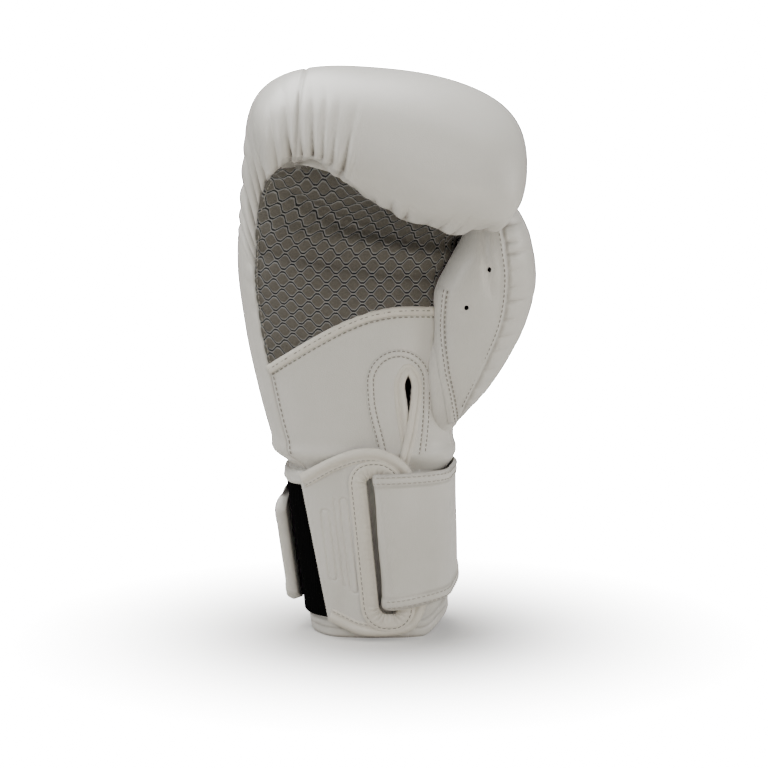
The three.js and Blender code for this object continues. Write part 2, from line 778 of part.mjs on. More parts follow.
// Thumb
const thumbRing = thumbTube(0, 0, 1)
  .subtract(thumbTube(thumbWall, 0.16, 0.92))
  .subtract(thumbWay);
const leafBack = -thumbDepth / 2;
place(
  "thumb_pad",
  thumbRing.subtract(throughFront(thumbLeaf(seamGap * 2), farFront, leafBack)),
  "leather",
);
function airHole(across, up) {
  const shape = new THREE.Shape();
  const height = cuffHeight + thumbRoot + up * thumbLength;
  shape.absarc(thumbSide + across * thumbWidth, height, ventRadius, 0, 2 * Math.PI);
  return throughFront(shape, farFront, leafBack, 3);
}
place(
  "thumb_panel",
  thumbRing
    .intersect(throughFront(thumbLeaf(0), farFront, leafBack - seamGap * 2))
    .subtract(airHole(0.106, 0.55))
    .subtract(airHole(0.35, 0.7)),
  "leather",
);

// Cuff
place("cuff_hem", cuffTube(0, hemHeight, hemRise, 2), "binding");
place("cuff_wall", cuffTube(hemHeight + seamGap, cuffHeight - seamGap, 0, 2), "leather");
const frontWall = {
  low: 0.5,
  high: cuffHeight + flapRise * 1.2,
  from: -46,
  to: 40,
  rows: 8,
  columns: 24,
};
const flapBase = (length) => {
  const ramp = THREE.MathUtils.smoothstep(length, -16, slotLeft - 4);
  return firstLayer + ramp * (strapThickness + layerGap);
};
const flapLayer = (rise) => {
  return cuffLayer({ ...frontWall, base: flapBase, thickness: flapThickness + rise });
};
const flapCore = cutFront(flapOutline(bindingWidth + seamGap, 20)).intersect(
  cutFront(flapOutline(0, 0)),
);
const slotCut = cutFront(slotOutline(slotBindingWidth + seamGap * 2));
place("wrist_flap", flapLayer(0).intersect(flapCore).subtract(slotCut), "leather");
place(
  "flap_binding",
  flapLayer(bindingRise)
    .intersect(cutFront(flapOutline(0, 0)))
    .subtract(cutFront(flapOutline(bindingWidth, 20)))
    .subtract(slotCut),
  "binding",
);
place(
  "slot_binding",
  flapLayer(slotBindingRise)
    .intersect(cutFront(slotOutline(slotBindingWidth)))
    .subtract(cutFront(slotOutline(0))),
  "binding",
);
const elastic = cuffLayer({
  low: cuffHeight - elasticHeight,
  high: cuffHeight - seamGap,
  from: -halfRound(positionAt(cuffHeight / 2)) * 0.63,
  to: -8,
  base: () => layerGap * 2,
  thickness: elasticThickness,
});
place("side_elastic", elastic.subtract(cutFront(rightOfFlapEdge())), "elastic");
place("strap", strapBand(), "leather");

// Everything right of the flap's left edge, so that the elastic ends against it.
function rightOfFlapEdge() {
  return outline([
    new THREE.Vector2(-0.48 * halfFist - seamGap * 2, cuffHeight * 1.5),
    new THREE.Vector2(-0.48 * halfFist - seamGap * 2, cuffHeight + flapRise * 0.1),
    new THREE.Vector2(-0.31 * halfFist - seamGap * 2, 0),
    new THREE.Vector2(fistWidth, 0),
    new THREE.Vector2(fistWidth, cuffHeight * 1.5),
  ]);
}

// The origin is below the middle of the standing glove.
const box = new THREE.Box3().setFromObject(glove);
const middle = box.getCenter(new THREE.Vector3());
glove.position.set(-middle.x, -middle.y, -box.min.z);

export default glove;
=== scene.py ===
"""White boxing glove for the right hand, standing on its cuff with the palm to the camera."""

import math

import bpy
import numpy as np
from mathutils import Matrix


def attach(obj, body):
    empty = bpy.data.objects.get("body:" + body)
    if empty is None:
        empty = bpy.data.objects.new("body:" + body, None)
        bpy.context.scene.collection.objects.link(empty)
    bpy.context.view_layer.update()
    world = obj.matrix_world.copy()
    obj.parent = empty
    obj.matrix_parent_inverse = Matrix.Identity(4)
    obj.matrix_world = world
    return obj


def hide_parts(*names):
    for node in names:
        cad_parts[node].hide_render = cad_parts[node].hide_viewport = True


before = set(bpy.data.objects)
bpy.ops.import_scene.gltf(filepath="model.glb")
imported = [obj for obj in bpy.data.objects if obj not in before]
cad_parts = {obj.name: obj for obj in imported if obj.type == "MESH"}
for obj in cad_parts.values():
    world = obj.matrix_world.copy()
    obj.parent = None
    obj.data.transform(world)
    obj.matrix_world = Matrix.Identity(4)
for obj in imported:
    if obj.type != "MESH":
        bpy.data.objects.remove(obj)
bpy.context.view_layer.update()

MM = 0.001
MIDDLE = np.array([-6.197, 20.844, 0.0])  # added to a point of the tables, gives its place in the frame
CAMERA_HEIGHT, CAMERA_DISTANCE, CAMERA_TILT = 131.0, 1109.4, math.radians(7)  # the photograph's
PHOTO_STEP = 0.52  # millimetres to a pixel of the photograph
rng = np.random.default_rng(7)

# Sizes in millimetres, the same as the solids'.
CUFF_HEIGHT, CUFF_WIDTH, CUFF_DEPTH, CUFF_SHIFT = 84.0, 80.6, 74.0, -2.7
RIM_WIDTH, RIM_SHIFT = 71.0, 4.0
HAND_LENGTH, FIST_WIDTH, FIST_DEPTH = 211.0, 148.0, 144.0
PALM_WALL, CUFF_WALL, KNUCKLE_PAD, SIDE_PAD = 4.0, 5.5, 43.0, 16.0
THUMB_SIDE, THUMB_ROOT, THUMB_LENGTH, THUMB_WIDTH, THUMB_DEPTH = 42.5, 16.0, 132.0, 49.0, 46.0
HALF_FIST = FIST_WIDTH / 2
PALM_POWER, BACK_POWER, THUMB_POWER = 3.0, 2.35, 2.2
LEAN_REACH = FIST_WIDTH * 0.3

COLUMNS = ["fist", "nearY", "nearZ", "farY", "farZ", "left", "right", "pad", "side", "lean"]
SECTIONS = np.array([
    [0, 0, 0, 0, 0, 0, 0, 0.14, 0.35, 0],  # wrist
    [0.2, -0.51, 0.045, 0.73, 0.048, 1.07, 0.8, 0.25, 0.5, 0],  # gathers
    [0.35, -0.49, 0.09, 0.73, 0.1, 1, 0.71, 0.33, 0.55, 0],  # heel
    [0.65, -0.49, 0.205, 0.73, 0.235, 0.95, 0.635, 0.6, 0.75, 0],  # lower
    [0.9, -0.48, 0.335, 0.725, 0.385, 0.945, 0.622, 0.8, 0.9, 0],  # mid
    [1, -0.45, 0.46, 0.72, 0.545, 0.965, 0.64, 0.92, 0.95, 0],  # upper
    [1, -0.415, 0.56, 0.65, 0.715, 0.955, 0.72, 1, 0.95, 0.02],  # crease
    [1, -0.405, 0.61, 0.375, 0.885, 0.925, 0.88, 1, 1, 0.05],  # knuckle
    [1, -0.445, 0.645, -0.11, 0.985, 0.87, 0.985, 1, 1.05, 0.08],  # top
    [1, -0.53, 0.667, -0.67, 0.985, 0.81, 1.035, 0.98, 1.1, 0.12],  # brow
    [1, -0.64, 0.68, -1.11, 0.9, 0.79, 1.04, 0.85, 1.2, 0.2],  # front
    [1, -0.74, 0.69, -1.29, 0.79, 0.75, 1, 0.68, 1.3, 0.28],  # nose
    [1, -0.82, 0.695, -1.26, 0.705, 0.68, 0.92, 0.5, 1.3, 0.34],  # lip
    [1, -0.89, 0.695, -1.07, 0.66, 0.58, 0.84, 0.25, 1.2, 0.37],  # tip
])
TIP = len(SECTIONS) - 1
THUMB_SECTIONS = np.array([  # up, across, back, width, depth
    [0, -0.2, -0.3, 0.12, 0.3],
    [0.1, -0.14, -0.33, 0.46, 0.66],
    [0.2, -0.03, -0.36, 0.72, 0.82],
    [0.32, 0.1, -0.4, 0.9, 0.92],
    [0.45, 0.26, -0.45, 0.97, 0.98],
    [0.6, 0.31, -0.5, 1.07, 1],
    [0.72, 0.39, -0.53, 0.92, 0.97],
    [0.83, 0.44, -0.53, 0.7, 0.86],
    [0.91, 0.42, -0.52, 0.54, 0.7],
    [0.97, 0.38, -0.51, 0.35, 0.45],
    [1, 0.37, -0.51, 0.08, 0.1],
])
LEFT_SEAM, RIGHT_SEAM, SEAM_MIDDLE = (46, 51, 50), (68, 64, 64), 5


def spline(a, b, c, d, t):
    """The Catmull-Rom curve between b and c."""
    return b + 0.5 * t * (c - a + t * (2 * a - 5 * b + 4 * c - d + t * (3 * (b - c) + d - a)))


def catmull(table, col, p):
    """A table's column between its rows."""
    last = len(table) - 1
    i = np.clip(np.floor(p).astype(int), 0, last - 1)
    return spline(*(table[np.clip(i + k, 0, last), col] for k in (-1, 0, 1, 2)), np.clip(p - i, 0, 1))


def bilinear(values, i, j):
    """A grid's values between its rows and columns."""
    i0, j0 = i.astype(int), j.astype(int)
    fi, fj = i - i0, j - j0
    near = values[i0, j0] * (1 - fi) + values[i0 + 1, j0] * fi
    return near * (1 - fj) + (values[i0, j0 + 1] * (1 - fi) + values[i0 + 1, j0 + 1] * fi) * fj


def mix(a, b, t):
    return a + (b - a) * t


def smoothstep(x, a, b):
    t = np.clip((x - a) / (b - a), 0, 1)
    return t * t * (3 - 2 * t)


def ridge(x, width):
    """1 where x is 0, falling smoothly to 0 about two widths away."""
    return np.exp(-((x / width) ** 2))


def bent(x, power):
    """A power that keeps the sign."""
    return np.sign(x) * np.abs(x) ** power


def unit(v):
    return v / np.maximum(np.linalg.norm(v, axis=-1, keepdims=True), 1e-9)


def body(p, deg, inner=False):
    """Points of the hand's and cuff's outer surface, or of the hollow's."""
    p, deg = np.broadcast_arrays(np.asarray(p, float), np.asarray(deg, float))
    q = np.maximum(p, 0)
    in_cuff = np.minimum(p, 0) + 1
    s = {name: catmull(SECTIONS, k, q) for k, name in enumerate(COLUMNS)}
    wrist = mix(RIM_WIDTH, CUFF_WIDTH, in_cuff) / 2
    shift = mix(RIM_SHIFT, CUFF_SHIFT, in_cuff)
    near_y = mix(-CUFF_DEPTH / 2, s["nearY"] * FIST_DEPTH / 2, s["fist"])
    far_y = mix(CUFF_DEPTH / 2, s["farY"] * FIST_DEPTH / 2, s["fist"])
    near_z = CUFF_HEIGHT * in_cuff + s["nearZ"] * HAND_LENGTH
    far_z = CUFF_HEIGHT * in_cuff + s["farZ"] * HAND_LENGTH
    left = mix(wrist - shift, s["left"] * HALF_FIST, s["fist"])
    right = mix(wrist + shift, s["right"] * HALF_FIST, s["fist"])
    depth = np.hypot(far_y - near_y, far_z - near_z)
    low = np.full_like(depth, PALM_WALL + 0.3) if inner else 0 * depth
    pad = mix(CUFF_WALL, s["pad"] * KNUCKLE_PAD, s["fist"])
    high = np.maximum(depth - pad, low + 0.3) if inner else depth
    inset = mix(CUFF_WALL, s["side"] * SIDE_PAD, s["fist"]) if inner else 0
    sin, cos = np.sin(np.radians(deg)), np.cos(np.radians(deg))
    power = np.where(cos > 0, PALM_POWER, BACK_POWER)
    x = bent(sin, 2 / power) * (np.where(sin < 0, left, right) - inset)
    d = mix(low, high, (1 - bent(cos, 2 / power)) / 2) / depth
    drop = np.where(x > 0, LEAN_REACH * np.tanh(x / LEAN_REACH), x)
    return np.stack([x, mix(near_y, far_y, d), mix(near_z, far_z, d) - s["lean"] * drop], -1)


def body_normal(p, deg):
    up = body(np.minimum(p + 0.02, TIP), deg) - body(np.maximum(p - 0.02, -1), deg)
    return unit(np.cross(body(p, deg + 1.0) - body(p, deg - 1.0), up))


def seam(angles, p):
    """A seam's angle along the hand, from its angles at the wrist, the middle and the tip."""
    q = np.maximum(p, 0)
    low = mix(angles[0], angles[1], q / SEAM_MIDDLE)
    high = mix(angles[1], angles[2], (q - SEAM_MIDDLE) / (TIP - SEAM_MIDDLE))
    return np.where(q < SEAM_MIDDLE, low, high)


def along(points, axis):
    """Lengths along the rows or columns of a grid of points."""
    step = np.linalg.norm(np.diff(points, axis=axis), axis=-1)
    zero = np.zeros_like(np.take(step, [0], axis=axis))
    return np.concatenate([zero, np.cumsum(step, axis=axis)], axis=axis)


def hand_grid(rows, low, high, shares):
    """A grid over the hand between two angles, at shares of the way round each section: its
    angles, its sections' places, its points and the ways out of the surface."""
    fine = mix(low[:, None], high[:, None], np.linspace(0, 1, 181)[None])
    length = along(body(rows[:, None], fine), 1)
    angles = np.array([np.interp(shares * l[-1], l, a) for l, a in zip(length, fine)])
    places = rows[:, None] + 0 * angles
    return angles, places, body(places, angles), body_normal(places, angles)


def gathers(at, off, table, ends=6.0, power=0.6):
    """How far gathered leather is pressed in. Each row of the table is a crease: where it
    starts along the seam, its slant, length and depth. The leather puffs between creases."""
    table = np.asarray(table)
    a = at - table[0, 1] * off
    start = table[:, 0]
    i = np.clip(np.searchsorted(start, a) - 1, 0, len(table) - 2)
    t = np.clip((a - start[i]) / (start[i + 1] - start[i]), 0, 1)
    inside = (a > start[0]) & (a < start[-1])
    nearer = np.where(t < 0.5, i, i + 1)
    length = mix(table[i, 2], table[i + 1, 2], smoothstep(t, 0.3, 0.7))
    depth = table[nearer, 3]
    fade = np.clip(1 - off / length, 0, 1) ** 1.3 * smoothstep(off, -0.5, 1.5)
    ridge = np.sin(math.pi * t) ** power
    sides = np.clip(np.minimum(a - start[0], start[-1] - a) / ends, 0, 1)
    return depth * (1 - ridge) * fade * inside * sides


def crease_rows(low, high, pitch, length, depth, slant=0.0, least=0.45):
    """Uneven creases for gathers, from low to high along a seam."""
    rows, at = [], low
    while at < high:
        rows.append((at, slant, length * rng.uniform(least, 1.25), depth * rng.uniform(least, 1.25)))
        at += pitch * rng.uniform(0.7, 1.4)
    return rows


def uneven(spans):
    """Points along a line with their own spacing in each span: (start, end, step)."""
    counts = [max(int(round((b - a) / step)), 1) for a, b, step in spans]
    parts = [np.linspace(a, b, n, endpoint=False) for (a, b, _), n in zip(spans, counts)]
    return np.r_[np.concatenate(parts), spans[-1][1]]


def swell(points, scale, seed):
    """Smooth noise from a few waves, about -1 to 1, for leather that isn't quite even."""
    r = np.random.default_rng(seed)
    total = np.zeros(points.shape[:-1])
    for _ in range(7):
        way = r.normal(size=3)
        way *= 2 * math.pi / (scale * r.uniform(0.7, 1.6) * np.linalg.norm(way))
        total += np.sin(points @ way + r.uniform(0, 6.28))
    return total / 3.5


ARCH = np.array([(-80, -9), (-58, -10), (-49.3, -9), (-46, -2.2), (-42.6, 3.8), (-34.2, 9.5),
                 (-27.8, 13.2), (-22, 12.2), (-16.8, 9.2), (-7.1, 3.6), (0.6, 4.0), (8, 2.8),
                 (14, -0.6), (21, -0.4), (32, -1.0), (45, 0), (90, 0)])
ARCH_FADE = 36.0  # how far up the roll the lip's arch fades out


def arch(points, from_tip):
    """How far the lip is drawn up on the little finger's side, in millimetres."""
    row = np.interp(points[..., 0], ARCH[:, 0], np.arange(len(ARCH)))
    return catmull(ARCH, 1, row) * (1 - smoothstep(from_tip, 0, ARCH_FADE))


HEEL_HEIGHT, HEEL_SWELL = 89.0, 3.2


def heel(points):
    """How far the hand swells over the strap's top on the thumb's side."""
    rise = ridge(points[..., 2] - HEEL_HEIGHT, 6.5) * smoothstep(points[..., 0], 14, 34)
    return HEEL_SWELL * rise * (1 - smoothstep(points[..., 1], 25, 60))


def seen(points):
    """Where points show from the front, across and down in the photograph's pixels."""
    p = points + MIDDLE - [0, 0, CAMERA_HEIGHT]
    sin, cos = math.sin(CAMERA_TILT), math.cos(CAMERA_TILT)
    near = PHOTO_STEP * (1 - (p[..., 2] * sin - p[..., 1] * cos) / CAMERA_DISTANCE)
    return p[..., 0] / near, -(p[..., 2] * cos + p[..., 1] * sin) / near


# Mesh building


def make(name, verts, faces, material, uv=None, crease_shade=None):
    """An object from points in millimetres and its faces, an array or a list of arrays."""
    name = name.replace(" ", "_")
    mesh = bpy.data.meshes.new(name)
    verts = (np.asarray(verts, float).reshape(-1, 3) + MIDDLE) * MM
    mesh.from_pydata(verts, [], [list(map(int, face)) for face in faces], shade_flat=False)
    if uv is not None:
        layer = mesh.uv_layers.new(name="millimetres")
        layer.data.foreach_set("uv", np.asarray(uv, np.float32)[faces.ravel()].ravel())
    # Each point's painted shade, for the darkening in creases, seams and along edges.
    layer = mesh.attributes.new("crease_shade", "FLOAT", "POINT")
    if crease_shade is not None:
        layer.data.foreach_set("value", np.asarray(crease_shade, np.float32).ravel())
    mesh.validate()
    mesh.materials.append(material)
    obj = bpy.data.objects.new(name, mesh)
    bpy.context.scene.collection.objects.link(obj)
    return obj


def quads(index, flip=False):
    a, b, c, d = index[:-1, :-1], index[:-1, 1:], index[1:, 1:], index[1:, :-1]
    order = (a, d, c, b) if flip else (a, b, c, d)
    return np.stack([o.ravel() for o in order], -1)


def closed_shell(name, outer, inner, material, crease_shade=None, coarse=1):
    """A closed wall between two grids of the same size; coarse thins out the inner one."""
    rows, cols = outer.shape[:2]
    top = np.arange(rows * cols).reshape(rows, cols)
    pick_r = np.unique(np.r_[np.arange(0, rows, coarse), rows - 1])
    pick_c = np.unique(np.r_[np.arange(0, cols, coarse), cols - 1])
    under = inner[np.ix_(pick_r, pick_c)]
    low = rows * cols + np.arange(len(pick_r) * len(pick_c)).reshape(len(pick_r), len(pick_c))
    faces = [*quads(top), *quads(low, True)]
    rims = ((top[0], low[0], pick_c, False), (top[-1], low[-1], pick_c, True),
            (top[:, -1], low[:, -1], pick_r, False), (top[:, 0], low[:, 0], pick_r, True))
    for rim, below, at, flip in rims:
        for k in range(len(at) - 1):
            face = np.r_[rim[at[k] : at[k + 1] + 1][::-1], below[k], below[k + 1]]
            faces.append(face[::-1] if flip else face)
    if crease_shade is not None:
        crease_shade = np.concatenate([crease_shade.ravel(), np.zeros(low.size)])
    verts = np.concatenate([outer.reshape(-1, 3), under.reshape(-1, 3)])
    return make(name, verts, faces, material, crease_shade=crease_shade)


def masked_slab(name, top, bottom, keep, material, uv=None):
    """A closed sheet over the cells of a grid that keep marks."""
    rows, cols = top.shape[:2]
    index = np.arange(rows * cols).reshape(rows, cols)
    up = quads(index).reshape(rows - 1, cols - 1, 4)[keep]
    low = up[:, ::-1] + rows * cols
    edges = dict.fromkeys((face[k], face[k - 3]) for face in up for k in range(4))
    rim = [(a, b) for a, b in edges if (b, a) not in edges]
    walls = np.array([[b, a, a + rows * cols, b + rows * cols] for a, b in rim])
    faces = np.concatenate([up, low, walls])
    verts = np.concatenate([top.reshape(-1, 3), bottom.reshape(-1, 3)])
    uv = None if uv is None else np.concatenate([uv.reshape(-1, 2)] * 2)
    used, faces = np.unique(faces, return_inverse=True)
    uv = None if uv is None else uv[used]
    return make(name, verts[used], faces.reshape(-1, 4), material, uv)


def whole_cells(marks):
    """The cells of a grid with all four corners marked."""
    return marks[:-1, :-1] & marks[1:, :-1] & marks[:-1, 1:] & marks[1:, 1:]


def loft(name, rings, material, closed=False, crease_shade=None):
    """A solid through rings of points; closed joins the last ring to the first."""
    count, around = rings.shape[:2]
    index = np.arange(count * around).reshape(count, around)
    index = np.concatenate([index, index[:, :1]], 1)
    if closed:
        index = np.concatenate([index, index[:1]], 0)
    faces = [*quads(index)]
    if not closed:
        faces += [index[0, :-1][::-1], index[-1, :-1]]
    return make(name, rings.reshape(-1, 3), faces, material, crease_shade=crease_shade)


def smooth_curve(points, count):
    """A Catmull-Rom curve through points, cut into even steps."""
    pts = np.asarray(points, float)
    ends = np.vstack([2 * pts[0] - pts[1], pts, 2 * pts[-1] - pts[-2]])
    steps = np.linspace(0, 1, 24, endpoint=False)[:, None]
    fine = np.vstack([*(spline(*ends[i : i + 4], steps) for i in range(len(pts) - 1)), pts[-1:]])
    length = along(fine, 0)
    return at_length(fine, length, np.linspace(0, length[-1], count))


def at_length(points, length, at):
    """The point of a line at each of some lengths along it."""
    return np.stack([np.interp(at, length, points[:, k]) for k in range(points.shape[1])], -1)


def resample(points, step, closed=False):
    """A line of even steps along another."""
    pts = np.vstack([points, points[:1]]) if closed else points
    length = along(pts, 0)
    at = np.linspace(0, length[-1], max(int(round(length[-1] / step)), 2) + 1)
    return at_length(pts, length, at[:-1] if closed else at)


def inside(points, polygon):
    """Which points of the front view lie inside a closed outline."""
    x, z = points[..., 0], points[..., 1]
    result = np.zeros(x.shape, bool)
    for (x0, z0), (x1, z1) in zip(polygon, np.roll(polygon, -1, axis=0)):
        if z0 == z1:
            continue
        cross = (z0 > z) != (z1 > z)
        result ^= cross & (x < (x1 - x0) * (z - z0) / (z1 - z0) + x0)
    return result


# The front view: x and z, and the surface behind them


def solve_front(x, z):
    """Position and angle on the palm's side of the surface behind front view points."""
    x, z = np.broadcast_arrays(np.asarray(x, float), np.asarray(z, float))
    table_p = np.linspace(-1, SEAM_MIDDLE + 3, 200)
    p = np.interp(z, body(table_p, 0)[..., 2], table_p)
    deg = np.zeros_like(p)
    for _ in range(8):
        half = np.abs(body(p, np.where(x < 0, -90.0, 90.0))[..., 0])
        share = np.clip(np.abs(x) / half, 0, 0.9995)
        deg = np.sign(x) * np.degrees(np.arcsin(share ** (PALM_POWER / 2)))
        here = body(p, deg)[..., 2]
        slope = (body(p + 0.01, deg)[..., 2] - here) / 0.01
        p = np.clip(p + np.clip((z - here) / np.where(np.abs(slope) < 5, 5, slope), -0.5, 0.5), -1, 9)
    return p, deg


def on_front(x, z, rise):
    """The point of a layer that shows at x, z in the front view."""

    def layer(u, w):
        p, deg = solve_front(u, w)
        return body(p, deg) + body_normal(p, deg) * np.asarray(rise, float)[..., None]

    u, w = np.array(x, float), np.array(z, float)
    for _ in range(4):
        point = layer(u, w)
        u, w = u - (point[..., 0] - x), w - (point[..., 2] - z)
    return layer(u, w)


def front_point(across, up):
    """A front view point from shares of the fist's half-width and of the hand's length."""
    return across * HALF_FIST, CUFF_HEIGHT + up * HAND_LENGTH


def side_way(path, closed=False):
    """The unit way to the left of a flat path, at each of its points."""
    if closed:
        way = np.roll(path, -1, 0) - np.roll(path, 1, 0)
    else:
        way = np.gradient(path, axis=0)
    way = unit(way)
    return np.stack([-way[:, 1], way[:, 0]], -1)


def sweep(name, path, profile, material, surface=on_front, closed=False, rise=0.0):
    """A band along a front view path. profile's columns are how far off the path and how
    high; rise may be an array of one value a point, or one a point and profile point."""
    side = side_way(path, closed)
    off = profile[None, :, 0]
    x = path[:, 0:1] + side[:, 0:1] * off
    z = path[:, 1:2] + side[:, 1:2] * off
    rings = surface(x, z, np.broadcast_to(profile[None, :, 1] + rise, x.shape))
    return loft(name, rings, material, closed)


def band_profile(width, low, high):
    """A flat band with rounded top corners."""
    t = np.linspace(-1, 1, 7)
    off = bent(t, 0.8) * width / 2
    top = low + (high - low) * (1 - np.abs(t) ** 4 * 0.8)
    over = np.stack([off, top], -1)
    return np.vstack([over, [[width / 2, low - 0.6], [-width / 2, low - 0.6]]])


# Stitches: small rounded bars, gathered into one object a seam

BAR = [(-0.85, 0.75), (-0.4, 1), (0.4, 1), (0.85, 0.75)]  # each ring's place and width
STITCH_RADIUS = 0.27


def stitches(name, points, normals, material, length=2.1, gap=0.8):
    """Stitches along a line in space."""
    dist = along(points, 0)
    count = int(dist[-1] / (length + gap))
    hexagon = [(math.cos(math.pi * k / 3) * 1.15, math.sin(math.pi * k / 3)) for k in range(6)]
    verts, faces = [], []
    for s in range(count):
        at = (s + 0.5) * dist[-1] / count
        a, b = (at_length(points, dist, at + end * length / 2) for end in (-1, 1))
        half = np.linalg.norm(b - a) / 2
        way = unit(b - a)
        side = unit(np.cross(at_length(normals, dist, at), way))
        up = np.cross(way, side)
        base = len(verts)
        for t, w in BAR:
            centre, radius = (a + b) / 2 + way * half * t, STITCH_RADIUS * w
            verts += [centre + (side * x + up * y) * radius for x, y in hexagon]
        verts += [a, b]
        for k in range(6):
            after = (k + 1) % 6
            for ring in range(base, base + 18, 6):
                faces.append(np.array([ring + k, ring + after, ring + after + 6, ring + k + 6]))
            faces.append(np.array([base + after, base + k, base + 24]))
            faces.append(np.array([base + 18 + k, base + 18 + after, base + 25]))
    place(make(name, np.array(verts), faces, material), "binding")


def sew(name, path, rise, material=None, off=0.0, surface=on_front, closed=False, **sizes):
    """Stitches along a front view path, lying on the surface behind it."""
    path = resample(path, 1.0, closed)
    if closed:
        path = np.vstack([path, path[:1]])
    side = side_way(path)
    x, z = path[:, 0] + side[:, 0] * off, path[:, 1] + side[:, 1] * off
    high = np.broadcast_to(rise, x.shape)
    points = surface(x, z, high)
    stitches(name, points, unit(surface(x, z, high + 0.5) - points), material or THREAD, **sizes)


# Materials


def feed(socket, value):
    """Give a socket a value or the socket that feeds it."""
    if isinstance(value, bpy.types.NodeSocket):
        socket.id_data.links.new(value, socket)
    else:
        socket.default_value = value


def node(tree, kind, inputs=None, **settings):
    n = tree.nodes.new(kind)
    for key, value in settings.items():
        setattr(n, key, value)
    for key, value in (inputs or {}).items():
        feed(n.inputs[key], value)
    return n


def surface_of(name, rough, spec):
    """A new material with its tree, its shader's inputs and the object's own coordinates."""
    m = bpy.data.materials.new(name)
    m.use_nodes = True
    shader = m.node_tree.nodes["Principled BSDF"].inputs
    shader["Roughness"].default_value = rough
    shader["Specular IOR Level"].default_value = spec
    return m, m.node_tree, shader, node(m.node_tree, "ShaderNodeTexCoord").outputs["Object"]


def noise(tree, coords, scale, detail=2):
    inputs = {"Scale": scale, "Detail": detail, "Vector": coords}
    return node(tree, "ShaderNodeTexNoise", inputs).outputs["Fac"]


def raise_bumps(tree, shader, height, strength, distance=0.0004):
    bump = node(tree, "ShaderNodeBump", {"Strength": strength, "Distance": distance, "Height": height})
    feed(shader["Normal"], bump.outputs["Normal"])


def multiply(tree, a, b, factor):
    """A colour times another."""
    blend = node(tree, "ShaderNodeMix", data_type="RGBA", blend_type="MULTIPLY")
    for name, value in (("A", a), ("B", b), ("Factor", factor)):
        feed([one for one in blend.inputs if one.name == name and one.enabled][0], value)
    return [one for one in blend.outputs if one.enabled][0]


def calc(tree, operation, *values):
    return node(tree, "ShaderNodeMath", dict(enumerate(values)), operation=operation).outputs[0]


def ramped(tree, value, *stops):
    """A colour from a value, by stops of a position and a colour."""
    ramp = node(tree, "ShaderNodeValToRGB", {"Fac": value})
    elements = ramp.color_ramp.elements
    elements[0].position, elements[0].color = stops[0][0], (*stops[0][1], 1)
    elements[1].position, elements[1].color = stops[-1][0], (*stops[-1][1], 1)
    for position, colour in stops[1:-1]:
        elements.new(position).color = (*colour, 1)
    return ramp.outputs["Color"]


GRAIN, SHADE = 0.12, 0.06


def leather(name, colour, rough):
    """Leather with a fine grain, a little uneven in colour, and with painted shade darkening its creases."""
    m, t, shader, coords = surface_of(name, rough, 0.42)
    cells = node(t, "ShaderNodeTexVoronoi", {"Scale": 1100, "Vector": coords}, feature="DISTANCE_TO_EDGE")
    height = calc(t, "MULTIPLY_ADD", cells.outputs["Distance"], 1.2, noise(t, coords, 420, 4))
    raise_bumps(t, shader, height, GRAIN)
    shaded = tuple(c * (1 - SHADE) for c in colour)
    uneven_colour = ramped(t, noise(t, coords, 28, 3), (0.3, shaded), (0.75, colour))
    # Painted shade: the colour darkens by each point's share of shade in creases, seams and along edges.
    crease_shading = node(t, "ShaderNodeAttribute", attribute_name="crease_shade").outputs["Fac"]
    feed(shader["Base Color"], multiply(t, uneven_colour, (0.42, 0.40, 0.37, 1), crease_shading))
    return m


def honeycomb(name):
    """Printed cells between black waves, from the UVs in millimetres."""
    m, t, shader, coords = surface_of(name, 0.72, 0.25)
    uv = node(t, "ShaderNodeUVMap", uv_map="millimetres").outputs["UV"]
    split = node(t, "ShaderNodeSeparateXYZ", {0: uv})
    wave = calc(t, "SINE", calc(t, "MULTIPLY", split.outputs["X"], 2 * math.pi / CELL_PITCH))
    wave = calc(t, "MAXIMUM", calc(t, "MINIMUM", calc(t, "MULTIPLY", wave, 1.15), 1.0), -1.0)
    wave = calc(t, "MULTIPLY", wave, CELL_WAVE)
    gaps = []
    for sign, start in ((-1.0, ROW_PITCH), (1.0, 0.0)):
        line = calc(t, "MULTIPLY_ADD", wave, sign, split.outputs["Y"])
        line = calc(t, "MODULO", calc(t, "ADD", line, start + ROWS_DOWN * ROW_PITCH), 2 * ROW_PITCH)
        gaps.append(calc(t, "ABSOLUTE", calc(t, "SUBTRACT", line, ROW_PITCH)))
    near = calc(t, "DIVIDE", calc(t, "MINIMUM", *gaps), 2.0)
    colour = ramped(t, near, (0.0, (0.010, 0.010, 0.011)), (0.18, (0.008, 0.008, 0.009)),
                    (0.26, (0.23, 0.23, 0.22)), (0.44, (0.19, 0.188, 0.178)),
                    (0.6, (0.105, 0.098, 0.083)), (1.0, (0.095, 0.087, 0.072)))
    speck = noise(t, coords, 1500, 3)
    feed(shader["Base Color"], multiply(t, colour, calc(t, "MULTIPLY_ADD", speck, 1.6, 0.2), 0.55))
    raise_bumps(t, shader, speck, 0.35)
    return m


def plain(name, colour, rough, spec=0.3):
    """A matt colour over fine bumps."""
    m, t, shader, coords = surface_of(name, rough, spec)
    raise_bumps(t, shader, noise(t, coords, 900), 0.2, 0.0003)
    shader["Base Color"].default_value = (*colour, 1)
    return m


BACKGROUND = 40.0  # how bright the camera sees what is far off
CELL_PITCH, ROW_PITCH, CELL_WAVE = 9.2, 4.7, 1.6  # the honeycomb's sizes in millimetres
ROWS_DOWN = 200  # rows added so that no place along the palm is below 0
WHITE = leather("white leather", (0.6, 0.585, 0.54), rough=0.36)
CREAM = leather("cream binding", (0.63, 0.6, 0.53), rough=0.47)
THREAD = plain("thread", (0.25, 0.238, 0.205), 0.85)
PALE_THREAD = plain("pale thread", (0.4, 0.385, 0.34), 0.85)
BLACK = plain("black elastic", (0.0015, 0.0015, 0.0016), 0.95, 0.03)
PRINT = honeycomb("honeycomb print")


